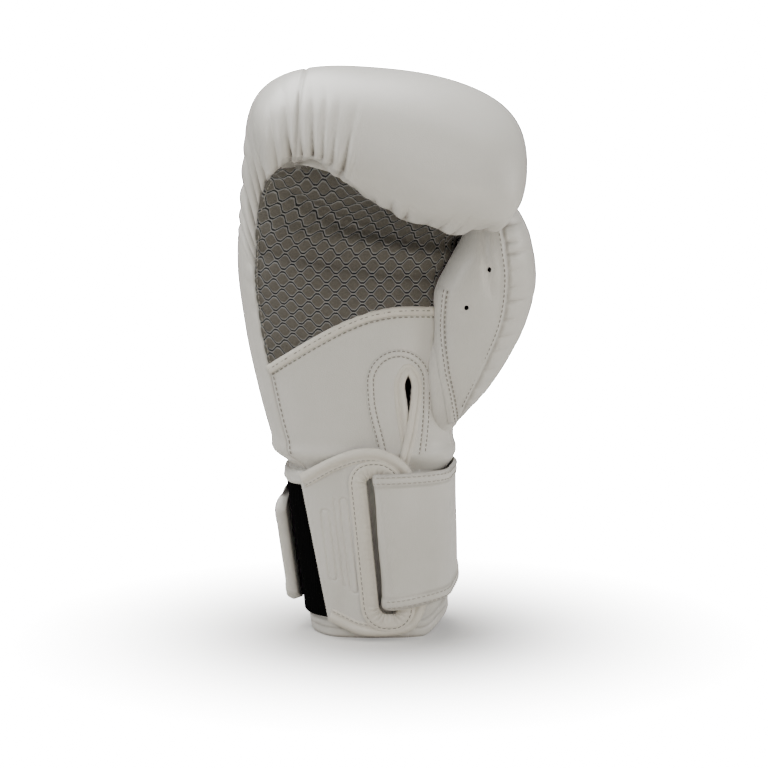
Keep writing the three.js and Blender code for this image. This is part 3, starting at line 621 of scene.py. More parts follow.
def place(obj, slot, *nodes):
    """Fix a piece to the glove's one body and hide the nodes it replaces; slot is not used."""
    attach(obj, "root")
    if nodes:
        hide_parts(*nodes)


# Fist: the leather over the back, the knuckles and the rolled fingers

FINE_LIP = 62.0  # how much of the roll has the finest rows
guide = np.linspace(0, TIP, 500)
outer_way = along(body(guide, 200.0 + 0 * guide)[:, None], 0)[:, 0]
end, fine_from = outer_way[-1], outer_way[-1] - FINE_LIP
middle_way = np.interp(SEAM_MIDDLE, guide, outer_way)
rows = uneven([(0, 12, 0.9), (12, middle_way, 2.6), (middle_way, fine_from, 1.35), (fine_from, end, 0.85)])
rows = np.interp(rows, outer_way, guide)
shares = 1 - uneven([(0, 0.3, 0.0023), (0.3, 0.9, 0.0047), (0.9, 1, 0.006)])[::-1]
angles, P, skin, normal = hand_grid(rows, seam(RIGHT_SEAM, rows), 360 - seam(LEFT_SEAM, rows), shares)
round_way = along(skin, 1)
from_left = round_way[:, -1:] - round_way
seam_way = along(skin[:, -1:], 0)  # along the little finger's seam, from the wrist
from_wrist = along(skin, 0)
from_tip = from_wrist[-1:] - from_wrist
lip_x = skin[-1:, :, 0] + 0 * from_tip
total = seam_way[-1, 0]
low_folds = crease_rows(total * 0.3, total * 0.66, 11, 17, 1.7, slant=0.4)
fan_folds = crease_rows(64, 106, 2.75, 88, 3.2, least=0.8)
front_folds = crease_rows(-16, 74, 8, 17, 3.0, slant=0.1)
wrist_folds = crease_rows(0, 420, 7.5, 12, 1.2)
press = gathers(seam_way + 0 * P, from_left, low_folds)
# Pleats that spread out from the arch over the mesh's corner, seen from the front: their
# angle round FAN, and how far each point is past the arch's edge.
FAN = (-79, -8)
FAN_EDGE = np.array([(60, 95), (65, 117), (70, 150), (73, 169), (76, 184), (79, 195), (82, 203), (85, 209),
                     (90, 211), (93, 210), (97, 206), (100, 200), (106, 192), (112, 185)])
across, down = seen(skin)
fan = np.degrees(np.arctan2(FAN[1] - down, FAN[0] - across))
reach = np.hypot(across - FAN[0], down - FAN[1]) - np.interp(fan, *FAN_EDGE.T)
fan += 0.6 * swell(skin, 60, 77)
facing = smoothstep(-normal[..., 1], -0.45, 0.0) * (P > 4) * smoothstep(reach, -22, -12)
press += gathers(fan, np.clip(reach, 0.8, None), fan_folds, 1.5, 1.0) * facing
press += gathers(lip_x, from_tip, front_folds)
press += gathers(round_way, from_wrist, wrist_folds) * smoothstep(round_way, 40, 80)
scallop = np.sin(lip_x / 5.1) + 0.7 * np.sin(lip_x / 3.1 + 1)
scallop *= smoothstep(-from_tip, -16, -3) * smoothstep(lip_x, -34, -14)
# A seam runs up the roll on the little finger's side.
PANEL_SEAM_X = -38
panel_seam = ridge(skin[..., 0] - PANEL_SEAM_X - 0.05 * np.minimum(from_tip, 90), 0.85)
panel_seam *= (angles > 150) * smoothstep(from_tip, 1, 5) * smoothstep(P, 0.3, 1.2)
edge_press = ridge(from_left, 1.0) + ridge(from_tip, 1.2)
lift = 0.5 * smoothstep(-from_left, -40, -5) + 0.5 * swell(skin, 60, 3) * smoothstep(from_left, 4, 25)
lift += 1.25 * scallop + heel(skin) - press - 0.9 * panel_seam - 1.1 * edge_press
outer = skin + normal * lift[..., None]
outer[..., 2] += arch(skin, from_tip)
# Painted shade in the gathers' creases, in the panel seam's groove and at the leather's edges.
crease_shade = np.clip((press - 0.9) / 1.6, 0, 1) * 0.75 + 0.4 * panel_seam + 0.5 * edge_press
crease_shade = np.clip(crease_shade, 0, 1)
inner = body(P, angles, inner=True)
inner[..., 2] += arch(inner, from_tip)
fist = closed_shell("fist leather", outer, inner, WHITE, crease_shade, coarse=4)
place(fist, "leather", "fist_shell")

# Palm: mesh, piping and the plain panel

PIPING = smooth_curve([front_point(*q) for q in ((-0.95, 0.2), (-0.62, 0.285), (-0.2, 0.37), (0.12, 0.405),
                                                (0.5, 0.405), (0.9, 0.39))], 160)

rows = np.linspace(0.02, TIP, 330)
angles, _, skin, normal = hand_grid(rows, -seam(LEFT_SEAM, rows) - 0.3, seam(RIGHT_SEAM, rows) + 0.3,
                                    np.linspace(0, 1, 230))
middle = np.argmin(np.abs(angles[150]))
uu = along(skin, 1)
uu = uu - uu[:, middle : middle + 1]
vv = along(skin, 0)
vv = vv[:, middle : middle + 1] + 0 * vv
vv = vv + 0.1 * uu * smoothstep(-vv, -150, -60) + 1.1 * np.sin(uu / 19 + vv / 31)
right_edge = uu - uu[:, -1:] * 0.62
uu = uu + 0.55 * np.clip(right_edge, 0, None)
wave = CELL_WAVE * np.clip(1.15 * np.sin(2 * math.pi * uu / CELL_PITCH), -1, 1)
gaps = [np.abs((line + ROWS_DOWN * ROW_PITCH) % (2 * ROW_PITCH) - ROW_PITCH)
        for line in (vv - wave + ROW_PITCH, vv + wave)]
cell = np.minimum(*gaps)
x, z = skin[..., 0], skin[..., 2]


def front_fold(line, depth, width):
    """A fold that crosses the palm along a front view line."""
    points = np.array([front_point(*q) for q in line])
    ends = smoothstep(x - points[0, 0], -4, 12) * smoothstep(points[-1, 0] - x, -4, 12)
    return -depth * ends * ridge(z - np.interp(x, points[:, 0], points[:, 1]), width)


folds = front_fold([(-0.62, 0.69), (-0.2, 0.62), (0.25, 0.58), (0.8, 0.56)], 3.2, 3.4)
folds += front_fold([(-0.8, 0.6), (-0.3, 0.585), (0.3, 0.545), (0.8, 0.535)], -2.2, 4.5)
folds += front_fold([(-0.85, 0.545), (-0.4, 0.53), (0.1, 0.5), (0.7, 0.49)], 1.8, 2.6)
folds += 0.5 * swell(skin, 34, 5)
relief = 0.55 * smoothstep(cell, 0.1, 0.9) + 0.25 * smoothstep(cell, 0.9, 1.8)
above = z > np.interp(x, PIPING[:, 0], PIPING[:, 1])
corners = above[:-1, :-1].astype(int) + above[1:, :-1] + above[:-1, 1:] + above[1:, 1:]
in_mesh = corners > 2
up_lip = arch(skin, along(skin, 0)[-1:] - along(skin, 0))
mesh_top = skin + normal * (np.where(above, relief, 0) + folds - 0.5)[..., None]
mesh_top[..., 2] += up_lip
below_wall = skin - normal * 3.0  # the palm's inner side
below_wall[..., 2] += up_lip
mesh_piece = masked_slab("palm mesh", mesh_top, below_wall, in_mesh, PRINT, np.stack([uu, vv], -1))
place(mesh_piece, "mesh", "palm_mesh")

SLIT_X = 0.235 * HALF_FIST
SLIT = np.array([(18.5, 139), (19.8, 137.6), (20.3, 134), (20.2, 130), (19.7, 125), (19.2, 120),
                 (19.0, 117), (18.6, 120), (17.9, 125), (17.1, 130), (16.7, 134), (17.1, 137.6)])
turn = np.linspace(0, math.pi, 40)
GUARD = np.vstack([smooth_curve([(26.4, 86), (28.9, 101), (30.3, 117), (30.6, 131)], 40)[:-1],
                   np.stack([13.7 + 16.9 * np.cos(turn), 133.5 + 17.3 * np.sin(turn)], -1),
                   smooth_curve([(-3.2, 131), (-2.0, 119), (2.4, 101), (5.4, 86)], 40)[1:]])
panel_top = skin + normal * (0.35 * swell(skin, 40, 9) + heel(skin))[..., None]
round_slit = whole_cells(~inside(np.stack([x, z], -1), SLIT))
panel = masked_slab("palm panel", panel_top, below_wall, ~in_mesh & round_slit, WHITE)
place(panel, "leather", "palm_panel")

path = PIPING[(PIPING[:, 0] > -54.5) & (PIPING[:, 0] < 0.52 * HALF_FIST)]
bumps = 0.1 * np.sin(np.arange(len(path)) * 0.9)[:, None]
piping = sweep("palm piping", path, band_profile(4.8, 0.0, 1.5), CREAM, rise=bumps)
place(piping, "binding", "palm_piping")
for k, (off, high) in enumerate(((0.2, 1.35), (-3.1, 0.25))):
    sew(f"piping stitches {k}", path, high, off=off)

grid_x, grid_z = np.meshgrid(np.linspace(-6, 34, 134), np.linspace(CUFF_HEIGHT + 0.5, 153, 206))
spots = np.stack([grid_x, grid_z], -1)
keep = whole_cells(inside(spots, GUARD) & ~inside(spots, SLIT))
edge = np.min(np.linalg.norm(spots[..., None, :] - resample(GUARD, 1.2)[None, None], axis=-1), -1)
high = 0.2 + 0.8 * smoothstep(edge, 0, 1.0) - 0.45 * (ridge(edge - 1.0, 0.4) + ridge(edge - 3.9, 0.4))
top, low = on_front(grid_x, grid_z, high), on_front(grid_x, grid_z, 0 * high - 0.5)
guard = masked_slab("slit guard", top, low, keep, WHITE)
place(guard, "leather", "slit_guard")
for k, off in enumerate((1.0, 3.9)):
    sew(f"guard stitches {k}", GUARD, 0.7, off=off, length=1.7, gap=0.7)

# The slit's binding is one roll with a flat lip, its right leg over its left.
loop = smooth_curve([(18.3, 98), (17.3, 104), (15.8, 114.3), (14.2, 126.8), (14.7, 135.2), (18.5, 140.6),
                     (22.4, 135.2), (22.9, 126.8), (20.4, 109.4), (17.2, 96), (15, 88), (14.2, 85)], 130)
roll = np.array([[-2.7, 0.3], [-2.75, 1.3], [-2.2, 2.0], [-1.2, 2.35], [-0.2, 2.1], [0.4, 1.35], [0.7, 1.2],
                 [1.0, 1.45], [1.9, 1.5], [2.7, 1.15], [2.9, 0.4], [2.8, -0.4], [-2.6, -0.4]])
cross_over = 1.3 * smoothstep(np.linspace(0, 1, len(loop))[:, None], 0.62, 0.78)
binding = sweep("slit binding", loop, roll, CREAM, rise=cross_over)
place(binding, "binding", "slit_binding")

# Thumb


def thumb(share, turn):
    """Points of the thumb's surface, at a share of its length and an angle round it."""
    up = THUMB_SECTIONS[:, 0]
    row = np.interp(share, up, np.arange(len(up)))
    _, across, back, width, depth = (catmull(THUMB_SECTIONS, k, row) for k in range(5))
    half_w, half_d = np.maximum(width * THUMB_WIDTH / 2, 0.5), np.maximum(depth * THUMB_DEPTH / 2, 0.5)
    return np.stack([
        THUMB_SIDE + across * THUMB_WIDTH + half_w * bent(np.sin(turn), 2 / THUMB_POWER),
        back * THUMB_DEPTH - half_d * bent(np.cos(turn), 2 / THUMB_POWER),
        CUFF_HEIGHT + THUMB_ROOT + share * THUMB_LENGTH + 0 * turn,
    ], -1)


def thumb_normal(share, turn):
    way_u = thumb(np.minimum(share + 0.004, 1), turn) - thumb(np.maximum(share - 0.004, 0), turn)
    return unit(np.cross(thumb(share, turn + 0.02) - thumb(share, turn - 0.02), way_u))


def thumb_at(across, up):
    return np.array([THUMB_SIDE + across * THUMB_WIDTH, CUFF_HEIGHT + THUMB_ROOT + up * THUMB_LENGTH])


THUMB_SEAM = smooth_curve([thumb_at(*q) for q in ((0.01, 0.02), (0.12, 0.15), (0.31, 0.31), (0.49, 0.48),
                                                  (0.55, 0.64), (0.52, 0.77), (0.44, 0.94), (0.4, 1.0))], 200)
share = np.sin(np.linspace(0, math.pi / 2, 230))[:, None]
share = mix(np.linspace(0, 1, 230)[:, None], share, 0.6)
turn = np.linspace(0, 2 * math.pi, 181)[None, :-1]
share, turn = np.broadcast_arrays(share, turn)
skin, normal = thumb(share, turn), thumb_normal(share, turn)
x, y, z = skin[..., 0], skin[..., 1], skin[..., 2]
off = x - np.interp(z, THUMB_SEAM[:, 1], THUMB_SEAM[:, 0])
front = np.where(y < thumb(share, turn * 0 + math.pi / 2)[..., 1], 1.0, 0.0)
folds = crease_rows(CUFF_HEIGHT + 25, CUFF_HEIGHT + 148, 7.5, 20, 1.9, slant=0.12)
press = gathers(z, np.where(off > 0, off * 1.2, -1), folds) * front * (off > 0)
groove = ridge(off, 0.9) * front
lift = -press - 1.1 * groove + 0.5 * swell(skin, 45, 21)
lift += front * (off < 0) * 0.5 * ridge(off + 2.2, 1.2)
top_fold = ridge(x - np.interp(z, [170, 182, 200, 222], [62, 60, 57, 56]), 2.2) * smoothstep(z, 172, 192)
lift -= 1.3 * top_fold * front
outer = skin + normal * lift[..., None]
holes = []
for across, up in ((0.106, 0.55), (0.35, 0.7)):
    spot = thumb_at(across, up)
    near = np.hypot(x - spot[0], z - spot[1])
    outer -= normal * (front * ridge(near, 1.6))[..., None]
    at = np.unravel_index(np.argmin(near + 100 * (1 - front)), near.shape)
    holes.append((outer[at], normal[at]))
# Painted shade in the thumb's gathers and along its seam groove.
crease_shade = np.clip((press - 0.4) / 1.4, 0, 1) * 0.8 * front + 0.55 * groove
pad = loft("thumb leather", outer, WHITE, crease_shade=np.clip(crease_shade, 0, 1))
place(pad, "leather", "thumb_pad", "thumb_panel")


def thumb_surface(px, pz, rise):
    """The point of a layer on the thumb that shows at px, pz in the front view."""
    share = np.clip((pz - CUFF_HEIGHT - THUMB_ROOT) / THUMB_LENGTH, 0.001, 0.999)
    left, right = (thumb(share, 0 * share + way * math.pi / 2)[..., 0] for way in (-1, 1))
    t = np.clip((px - (left + right) / 2) / ((right - left) / 2), -0.995, 0.995)
    turn = np.arcsin(bent(t, THUMB_POWER / 2))
    return thumb(share, turn) + thumb_normal(share, turn) * np.asarray(rise)[..., None]


seam_path = THUMB_SEAM[THUMB_SEAM[:, 1] > CUFF_HEIGHT + 35]
sew("thumb seam stitches", seam_path, 0.55, off=2.3, surface=thumb_surface, length=1.8)
edge_path = smooth_curve([(38.2, 187), (36.2, 182), (35.2, 176), (34.6, 160), (36.4, 141),
                          (39.6, 125), (41.5, 112)], 120)
flat = np.array([[2.3, -0.3], [2.3, 0.5], [1.9, 0.8], [0, 0.85], [-1.9, 0.8], [-2.3, 0.5], [-2.3, -0.3]])
sink = -1.8 * (1 - smoothstep(np.arange(len(edge_path)), 0, 12))[:, None]
thumb_band = sweep("thumb edge band", edge_path, flat, WHITE, surface=thumb_surface, rise=sink)
place(thumb_band, "leather")
for k, (off, high) in enumerate(((1.2, 0.85), (3.0, 0.6))):
    sew(f"thumb band stitches {k}", edge_path[8:], high, off=off, surface=thumb_surface, length=1.8)
HOLE_RADIUS = 1.35
# No hole is cut through the leather: each air hole is a black disc in a dent, standing for the black lining
# and for painted shade inside the hole.
for k, (spot, n) in enumerate(holes):
    side = unit(np.cross(n, [0, 0, 1.0]))
    up = np.cross(side, n)
    ring = np.array([side * math.cos(t) + up * math.sin(t) for t in np.linspace(0, 2 * math.pi, 25)[:-1]])
    rings = np.array([spot + ring * HOLE_RADIUS + n * h for h in (-0.6, 0.35, 0.42)])
    place(loft(f"air hole {k}", rings, BLACK), "elastic")

# Cuff layers: heights and lengths round the cuff from its front middle

HEIGHTS = np.linspace(0.5, 112, 58)
LENGTHS = np.arange(-130.0, 260.0, 1.0)
height_p = np.interp(HEIGHTS, body(np.linspace(-1, 4, 400), 0)[..., 2], np.linspace(-1, 4, 400))
fine = np.linspace(-180, 540, 721)
spots = body(height_p[:, None], fine[None])
length = along(spots, 1)
length -= length[:, 180:181]
ANGLES = np.array([np.interp(LENGTHS, l, fine) for l in length])


def on_cuff(z, length, rise, top=CUFF_HEIGHT - 3):
    """The point of a layer at a height and a length round the cuff."""
    high, length, rise = np.broadcast_arrays(*(np.asarray(v, float) for v in (z, length, rise)))
    z = np.minimum(high, top)
    i = np.clip((z - HEIGHTS[0]) / (HEIGHTS[1] - HEIGHTS[0]), 0, len(HEIGHTS) - 1.001)
    deg = bilinear(ANGLES, i, np.clip(length - LENGTHS[0], 0, len(LENGTHS) - 1.001))
    p = np.interp(z, HEIGHTS, height_p)
    point = body(p, deg) + body_normal(p, deg) * rise[..., None]
    point[..., 2] += high - z
    return point


HALF_ROUND = float(np.interp(CUFF_HEIGHT / 2, HEIGHTS, length[:, 360]))  # half the cuff's girth
THICK, FLAP, GAP = 2.2, 2.4, 0.8  # the strap, the flap and the space between layers
FIRST = 1.2 + GAP  # the lowest layer's height over the cuff
SLOT_TILT, SLOT_LEAN = 0.1, 0.114  # sideways to a millimetre up, of the slot and of the strap's fold
SLOT_LEFT, SLOT_WIDTH, SLOT_LOW, SLOT_HEIGHT = 0.02 * HALF_FIST, 12.0, CUFF_HEIGHT * 0.145, 75.0


def flap_base(x):
    """How high the flap's underside lies, to make room for the strap."""
    return FIRST + smoothstep(x, -16, SLOT_LEFT - 4) * (THICK + GAP)


# Padded cuff wall and its rim
split_from, split_to = SLIT_X + 0.9, SLIT_X - 0.9
ls = np.linspace(split_from, 2 * HALF_ROUND + split_to, 260)[None]
RIM_DRAWN_UP, RIM_SEAM, RIM_TOP = 8.0, 5.0, 8.8
drawn_up = RIM_DRAWN_UP * smoothstep(ls, 26, 46) * (1 - smoothstep(ls, 66, 108))
up = np.linspace(0, 1, 100)[:, None] ** 1.3 * (CUFF_HEIGHT - 0.3 - drawn_up)
zs = up + drawn_up
hem = smoothstep(-up, -9.0, -8.0) - 0.6 * ridge(up - RIM_SEAM, 0.45) - 0.8 * smoothstep(-up, -1.6, 0)
surface = on_cuff(zs, ls, hem + 0.25 * np.sin(ls / 3.1) * smoothstep(-up, -14, -9))
under = on_cuff(zs, ls, 0 * zs - CUFF_WALL)
surface[0, :, 2] = under[0, :, 2] = drawn_up[0]
# Painted shade in the rim's seam groove and at the top edge of its hem.
crease_shade = 0.5 * (ridge(up - RIM_SEAM, 0.5) + ridge(up - RIM_TOP, 0.5))
wall = closed_shell("cuff wall", surface, under, WHITE, crease_shade + 0 * ls, coarse=4)
place(wall, "leather", "cuff_wall", "cuff_hem")

# Black elastic with fine upright ribs
zs = np.linspace(11.0, CUFF_HEIGHT - 0.3, 70)[:, None]
ls = np.linspace(-HALF_ROUND * 0.63, -22, 220)[None]
ribs = 0.16 * np.sin(ls * 2 * math.pi / 1.5) + 0.1 * np.sin(zs * 0.5 + ls * 0.2)
top = on_cuff(zs, ls, 1.6 + 1.3 + ribs)
low = on_cuff(zs, ls, 1.0 + 0 * ribs)
elastic = closed_shell("side elastic", top, low, BLACK, coarse=4)
place(elastic, "elastic", "side_elastic")

# The strap's lower and upper edge as shares of the cuff's height, along half girths
COURSE = np.array([[0, 0.19, 1.045], [0.25, 0.25, 1.055], [0.5, 0.325, 1.065], [0.75, 0.31, 1.035],
                   [1, 0.25, 0.97], [1.4, 0.2, 0.88], [1.6, 0.165, 0.82]])

# Hem of the hand's leather, over the top of the cuff
HEM_FROM = HALF_ROUND * 0.7
ls = np.linspace(HEM_FROM, 2 * HALF_ROUND - 27, 400)[None]
t = np.linspace(0, 1, 24)[:, None]
strap_top = np.interp(ls / HALF_ROUND, COURSE[:, 0], COURSE[:, 2]) * CUFF_HEIGHT
start = np.maximum(80.2, (strap_top + 0.8) * (1 - smoothstep(ls, HALF_ROUND * 1.5, HALF_ROUND * 1.62)))
begun = smoothstep(ls, HEM_FROM, HALF_ROUND * 0.9)
zs = start + (3.6 + 3.8 * begun) * t + 0.25 * np.sin(ls / 5)
hugging = mix(3.4, 0.9, smoothstep(zs, 82, 87.5)) - 1.2 * (1 - begun)
hem_waves = 0.3 * np.sin(ls * 2 * math.pi / 3.3 + 1.4 * np.sin(ls / 9)) * smoothstep(t, 0.25, 0.9)
round_off = 1 - np.abs(2 * t - 1) ** 4
lines = 0.4 * (ridge(t - 0.35, 0.05) + ridge(t - 0.6, 0.05))
top = on_cuff(zs, ls, hugging + round_off + hem_waves - lines, top=112)
low = on_cuff(zs, ls, hugging - 1.6, top=112)
hem_piece = closed_shell("wrist hem", top, low, WHITE, coarse=2)
place(hem_piece, "leather")

# Flap: tongue, bound edge and the slot's gathered binding


FLAP_RISE, FLAP_FOOT, FLAP_RIGHT = 20.0, 3.2, 0.385 * HALF_FIST
FLAP_ARCH = ((-0.51, 0.03), (-0.3, 0.5), (-0.07, 0.8), (0.12, 0.7), (0.27, 0.2))
edge_line = [(x * HALF_FIST, CUFF_HEIGHT + rise * FLAP_RISE) for x, rise in FLAP_ARCH]
edge_line += [(FLAP_RIGHT - 4, CUFF_HEIGHT * 0.8), (FLAP_RIGHT, CUFF_HEIGHT * 0.4),
              (FLAP_RIGHT, CUFF_HEIGHT * 0.25), (FLAP_RIGHT - 6, FLAP_FOOT + 4),
              (0.15 * HALF_FIST, FLAP_FOOT), (-0.1 * HALF_FIST, FLAP_FOOT + 0.5),
              (-0.31 * HALF_FIST, FLAP_FOOT + 6.5)]
edge_line = smooth_curve(edge_line, 260)

# The front of the cuff and wrist as heights over x and z, smoothed across the wrist's kink
FX, FZ = np.arange(-44.0, 38.1, 1.0), np.arange(-2.0, 112.1, 1.0)
gx, gz = np.meshgrid(FX, FZ)
front_y = on_front(gx, np.maximum(gz, 1.0), 0 * gx)[..., 1]
kernel = np.exp(-(np.arange(-12, 13) / 5.5) ** 2)
kernel /= kernel.sum()
for first_round in (True, False):
    wider = np.pad(front_y, ((12, 12), (0, 0)), mode="edge")
    soft = np.stack([wider[k : k + len(FZ)] * w for k, w in enumerate(kernel)]).sum(0)
    front_y = np.minimum(front_y, soft) if first_round else soft


def flap_surface(px, pz, rise):
    """The point of a layer on the flap's place that shows at px, pz in the front view."""
    px, pz, rise = np.broadcast_arrays(np.asarray(px, float), np.asarray(pz, float), np.asarray(rise, float))
    rise = rise + flap_base(px)

    def y_at(x, z):
        i, j = np.clip(z - FZ[0], 0, len(FZ) - 1.001), np.clip(x - FX[0], 0, len(FX) - 1.001)
        return bilinear(front_y, i, j)

    u, w = px.copy(), pz.copy()
    for _ in range(5):
        dx = np.clip((y_at(u + 1, w) - y_at(u - 1, w)) / 2, -3, 3)
        dz = np.clip((y_at(u, w + 1) - y_at(u, w - 1)) / 2, -1, 1)
        steep = np.sqrt(1 + dx**2 + dz**2)
        u, w = px - dx / steep * rise, pz - dz / steep * rise
    return np.stack([px, y_at(u, w) - rise / steep, pz], -1)


def slot_outline(grow):
    """The slot's leaning rounded outline, wider by grow."""
    left, right = SLOT_LEFT - grow, SLOT_LEFT + SLOT_WIDTH + grow * 0.55
    low, high = SLOT_LOW - grow * 0.6, SLOT_LOW + SLOT_HEIGHT + grow * 0.6
    r = min(6.0 + grow * 0.5, (right - left) / 2 - 0.1)
    pts = []
    left, right, low, high = left + r, right - r, low + r, high - r
    for k, (cx, cz) in enumerate(((right, low), (right, high), (left, high), (left, low))):
        turn = np.radians(np.linspace(k * 90 - 90, k * 90, 9))
        pts.append(np.stack([cx + r * np.cos(turn), cz + r * np.sin(turn)], -1))
    pts = np.concatenate(pts)
    pts[:, 0] -= SLOT_TILT * (pts[:, 1] - 34)
    return pts


grid_x, grid_z = np.meshgrid(np.linspace(-38, 30, 210), np.linspace(2, 104, 300))
spots = np.stack([grid_x, grid_z], -1)
keep = whole_cells(inside(spots, edge_line) & ~inside(spots, slot_outline(4.0)))
bars = np.zeros_like(grid_x)
for bar_x, bar_low, bar_high, wide in ((-17.0, 28, 74, 0.0), (-22.2, 33, 66, 2.1), (-11.8, 27, 72, 2.1)):
    off_x = grid_x - bar_x + (grid_z - 50) * 0.12
    off_z = grid_z - np.clip(grid_z, bar_low, bar_high)
    bars = np.maximum(bars, ridge(np.hypot(off_x, off_z) - wide, 0.5))
puff = 0.35 * swell(np.stack([grid_x, grid_z, 0 * grid_x], -1), 30, 31)
top = flap_surface(grid_x, grid_z, FLAP + puff - 0.6 * bars)
flap = masked_slab("wrist flap", top, flap_surface(grid_x, grid_z, 0.0), keep, WHITE)
place(flap, "leather", "wrist_flap")


edge_band = np.array([[0.2, 0.2], [0.6, 1.2], [0.3, 2.4], [-0.7, 3.5], [-2.0, 3.95], [-3.3, 3.6], [-4.2, 2.9],
                      [-4.6, 2.75], [-5.0, 3.0], [-6.1, 3.05], [-6.7, 2.75], [-6.8, 2.2], [-3.2, 0.3]])
flap_edge = sweep("flap binding", edge_line, edge_band, CREAM, surface=flap_surface)
place(flap_edge, "binding", "flap_binding")
sew("flap stitches", edge_line, 3.1, PALE_THREAD, off=-5.6, surface=flap_surface, length=1.9, gap=0.7)

RING_STEP, RING_HALF = 0.7, 4.6
ring = resample(slot_outline(4.2), RING_STEP, closed=True)
around = np.arange(len(ring))[:, None] * RING_STEP
t = np.linspace(-1, 1, 21)
over = FLAP + 1.9 * (1 - np.abs(0.15 + 0.85 * t) ** 2.4) + 0.2 - 0.7 * ridge(t + 0.62, 0.07)
ring_profile = np.vstack([np.stack([t * RING_HALF, over], -1), [[RING_HALF, 0.2], [-RING_HALF, 0.2]]])
inward = np.clip(ring_profile[None, :, 0] / RING_HALF, -1, 1)
# The binding is gathered where it turns, and plain along its straight sides.
bend = np.abs(np.gradient(np.unwrap(np.arctan2(*np.gradient(ring, axis=0).T[::-1]))))
bend = np.convolve(np.r_[bend, bend, bend], np.ones(9) / 9, "same")[len(ring) : 2 * len(ring)]
pleats = 0.62 * np.sin(around * 2 * math.pi / 2.9 + 0.9 * np.sin(around / 7)) * smoothstep(inward, -0.55, 0.6)
pleats = pleats * np.clip(bend * 14, 0.12, 1)[:, None] * (ring_profile[None, :, 1] > 1)
slot_ring = sweep("slot binding", ring, ring_profile, CREAM, surface=flap_surface, closed=True, rise=pleats)
place(slot_ring, "binding", "slot_binding")
sew("slot stitches", slot_outline(4.2), FLAP + 1.4, off=-2.85, surface=flap_surface, closed=True, length=1.8)

# Strap: through the slot, back over itself, round the cuff and off at its free end
inner_run = FIRST + THICK / 2
outer_run = inner_run + THICK + FLAP + 0.9 + 3.5 * GAP
over_elastic = inner_run + 1.6 + GAP
fold = SLOT_LEFT + SLOT_WIDTH * 0.26 + 0.4
flap_end = FLAP_RIGHT + THICK * 2
bend = (outer_run - inner_run) / 2
turn = np.linspace(0, math.pi, 13)
course = [(flap_end - 9, inner_run), (fold + bend + 2, inner_run)]
course += list(zip(fold + bend - bend * np.sin(turn), inner_run + bend - bend * np.cos(turn)))
course += [(fold + bend + 2, outer_run), (flap_end - 3, outer_run), (flap_end + 1, outer_run - 1.6),
           (flap_end + 6, inner_run + 3.6), (flap_end + 12, inner_run + 2.6)]
course += [(HALF_ROUND * at, high) for at, high in (
    (0.62, inner_run + 2.2), (0.85, inner_run), (1.23, inner_run), (1.29, over_elastic),
    (1.47, over_elastic), (1.52, over_elastic + 2.4), (1.575, over_elastic + 5.2))]
course = resample(np.array(course), 1.0)
for _ in range(3):
    course[1:-1] = 0.25 * course[:-2] + 0.5 * course[1:-1] + 0.25 * course[2:]
share = course[:, 0] / HALF_ROUND
row = np.interp(share, COURSE[:, 0], np.arange(len(COURSE)))
from_end = np.linalg.norm(course - course[-1], axis=1)[:, None]
end_round = np.maximum(0, 1 - from_end[:, 0] / 9) ** 2 * 6
low = (catmull(COURSE, 1, row) * CUFF_HEIGHT + end_round)[:, None]
height = (catmull(COURSE, 2, row) * CUFF_HEIGHT - end_round)[:, None] - low
u = np.linspace(0, 1, 47)
u = 0.5 - 0.5 * bent(1 - 2 * u, 0.85)
zz = low + height * u
# The fold leans with the slot.
lean = SLOT_LEAN * (zz - 40) * (1 - smoothstep(course[:, 0:1], 12, 34))
lean *= smoothstep(course[:, 1:2], inner_run, outer_run)
centre = on_cuff(zz, course[:, 0:1] - lean, course[:, 1:2])
normal = unit(np.cross(np.gradient(centre, axis=0), np.gradient(centre, axis=1)))


def rounded(distance, radius):
    """The share of the full thickness at a distance from a rounded edge."""
    return np.sqrt(np.clip(1 - (1 - np.clip(distance / radius, 0, 1)) ** 2, 0, 1))


from_edge = np.minimum(u, 1 - u) * height
round_edge = rounded(from_edge, 1.3)
hem_band = 0.45 * smoothstep(-from_edge, -6.6, -5.9)
hem_band -= 0.25 * (ridge(from_edge - 1.7, 0.45) + ridge(from_edge - 4.9, 0.45))
crumple = 0.3 * swell(centre, 26, 41) * smoothstep(from_edge, 2, 12)
rise = THICK / 2 * round_edge + hem_band * round_edge + crumple
rise += 0.35 * smoothstep(-from_end, -6.5, -5.5) - 0.3 * ridge(from_end - 5.0, 0.5)
swollen = 1 + 3.4 * smoothstep(-from_end, -24, -4) * smoothstep(share[:, None], 1, 1.3)
round_end = rounded(from_end, 1.8) * 0.8 + 0.2
outer = centre + normal * (rise * round_end)[..., None]
under = centre - normal * (THICK / 2 * round_edge * swollen * round_end)[..., None]
# Painted shade in the groove near the strap's edge and at the step of its hem band.
crease_shade = 0.45 * (ridge(from_edge - 1.7, 0.5) + ridge(from_edge - 6.3, 0.5)) * round_end
crease_shade = np.concatenate([crease_shade, 0 * crease_shade], 1)
strap = loft("strap", np.concatenate([outer, under[:, ::-1]], 1), WHITE, crease_shade=crease_shade)
place(strap, "leather", "strap")
k = np.arange(int(np.argmax(np.diff(course[:, 1]) > 0)) + 14, len(course) - 6)
for name, level in (("a", 1.7), ("b", 4.9)):
    for end in ("low", "high"):
        at = level / height[k, 0]
        j = np.interp(at if end == "low" else 1 - at, u, np.arange(len(u)))
        j0 = j.astype(int)
        f = (j - j0)[:, None]
        line = outer[k, j0] * (1 - f) + outer[k, j0 + 1] * f + normal[k, j0] * 0.12
        stitches(f"strap stitches {name} {end}", line, normal[k, j0], PALE_THREAD, length=1.9)

# Stitches on the leather beside the mesh's left edge
p = np.linspace(1.2, 8.6, 260)
deg = -seam(LEFT_SEAM, p) + 2.6
n = body_normal(p, deg)
stitches("side seam stitches", body(p, deg) + n * 0.5, n, THREAD, length=2.0)

# Stage: pale floor, soft light from above and behind, and the camera in front


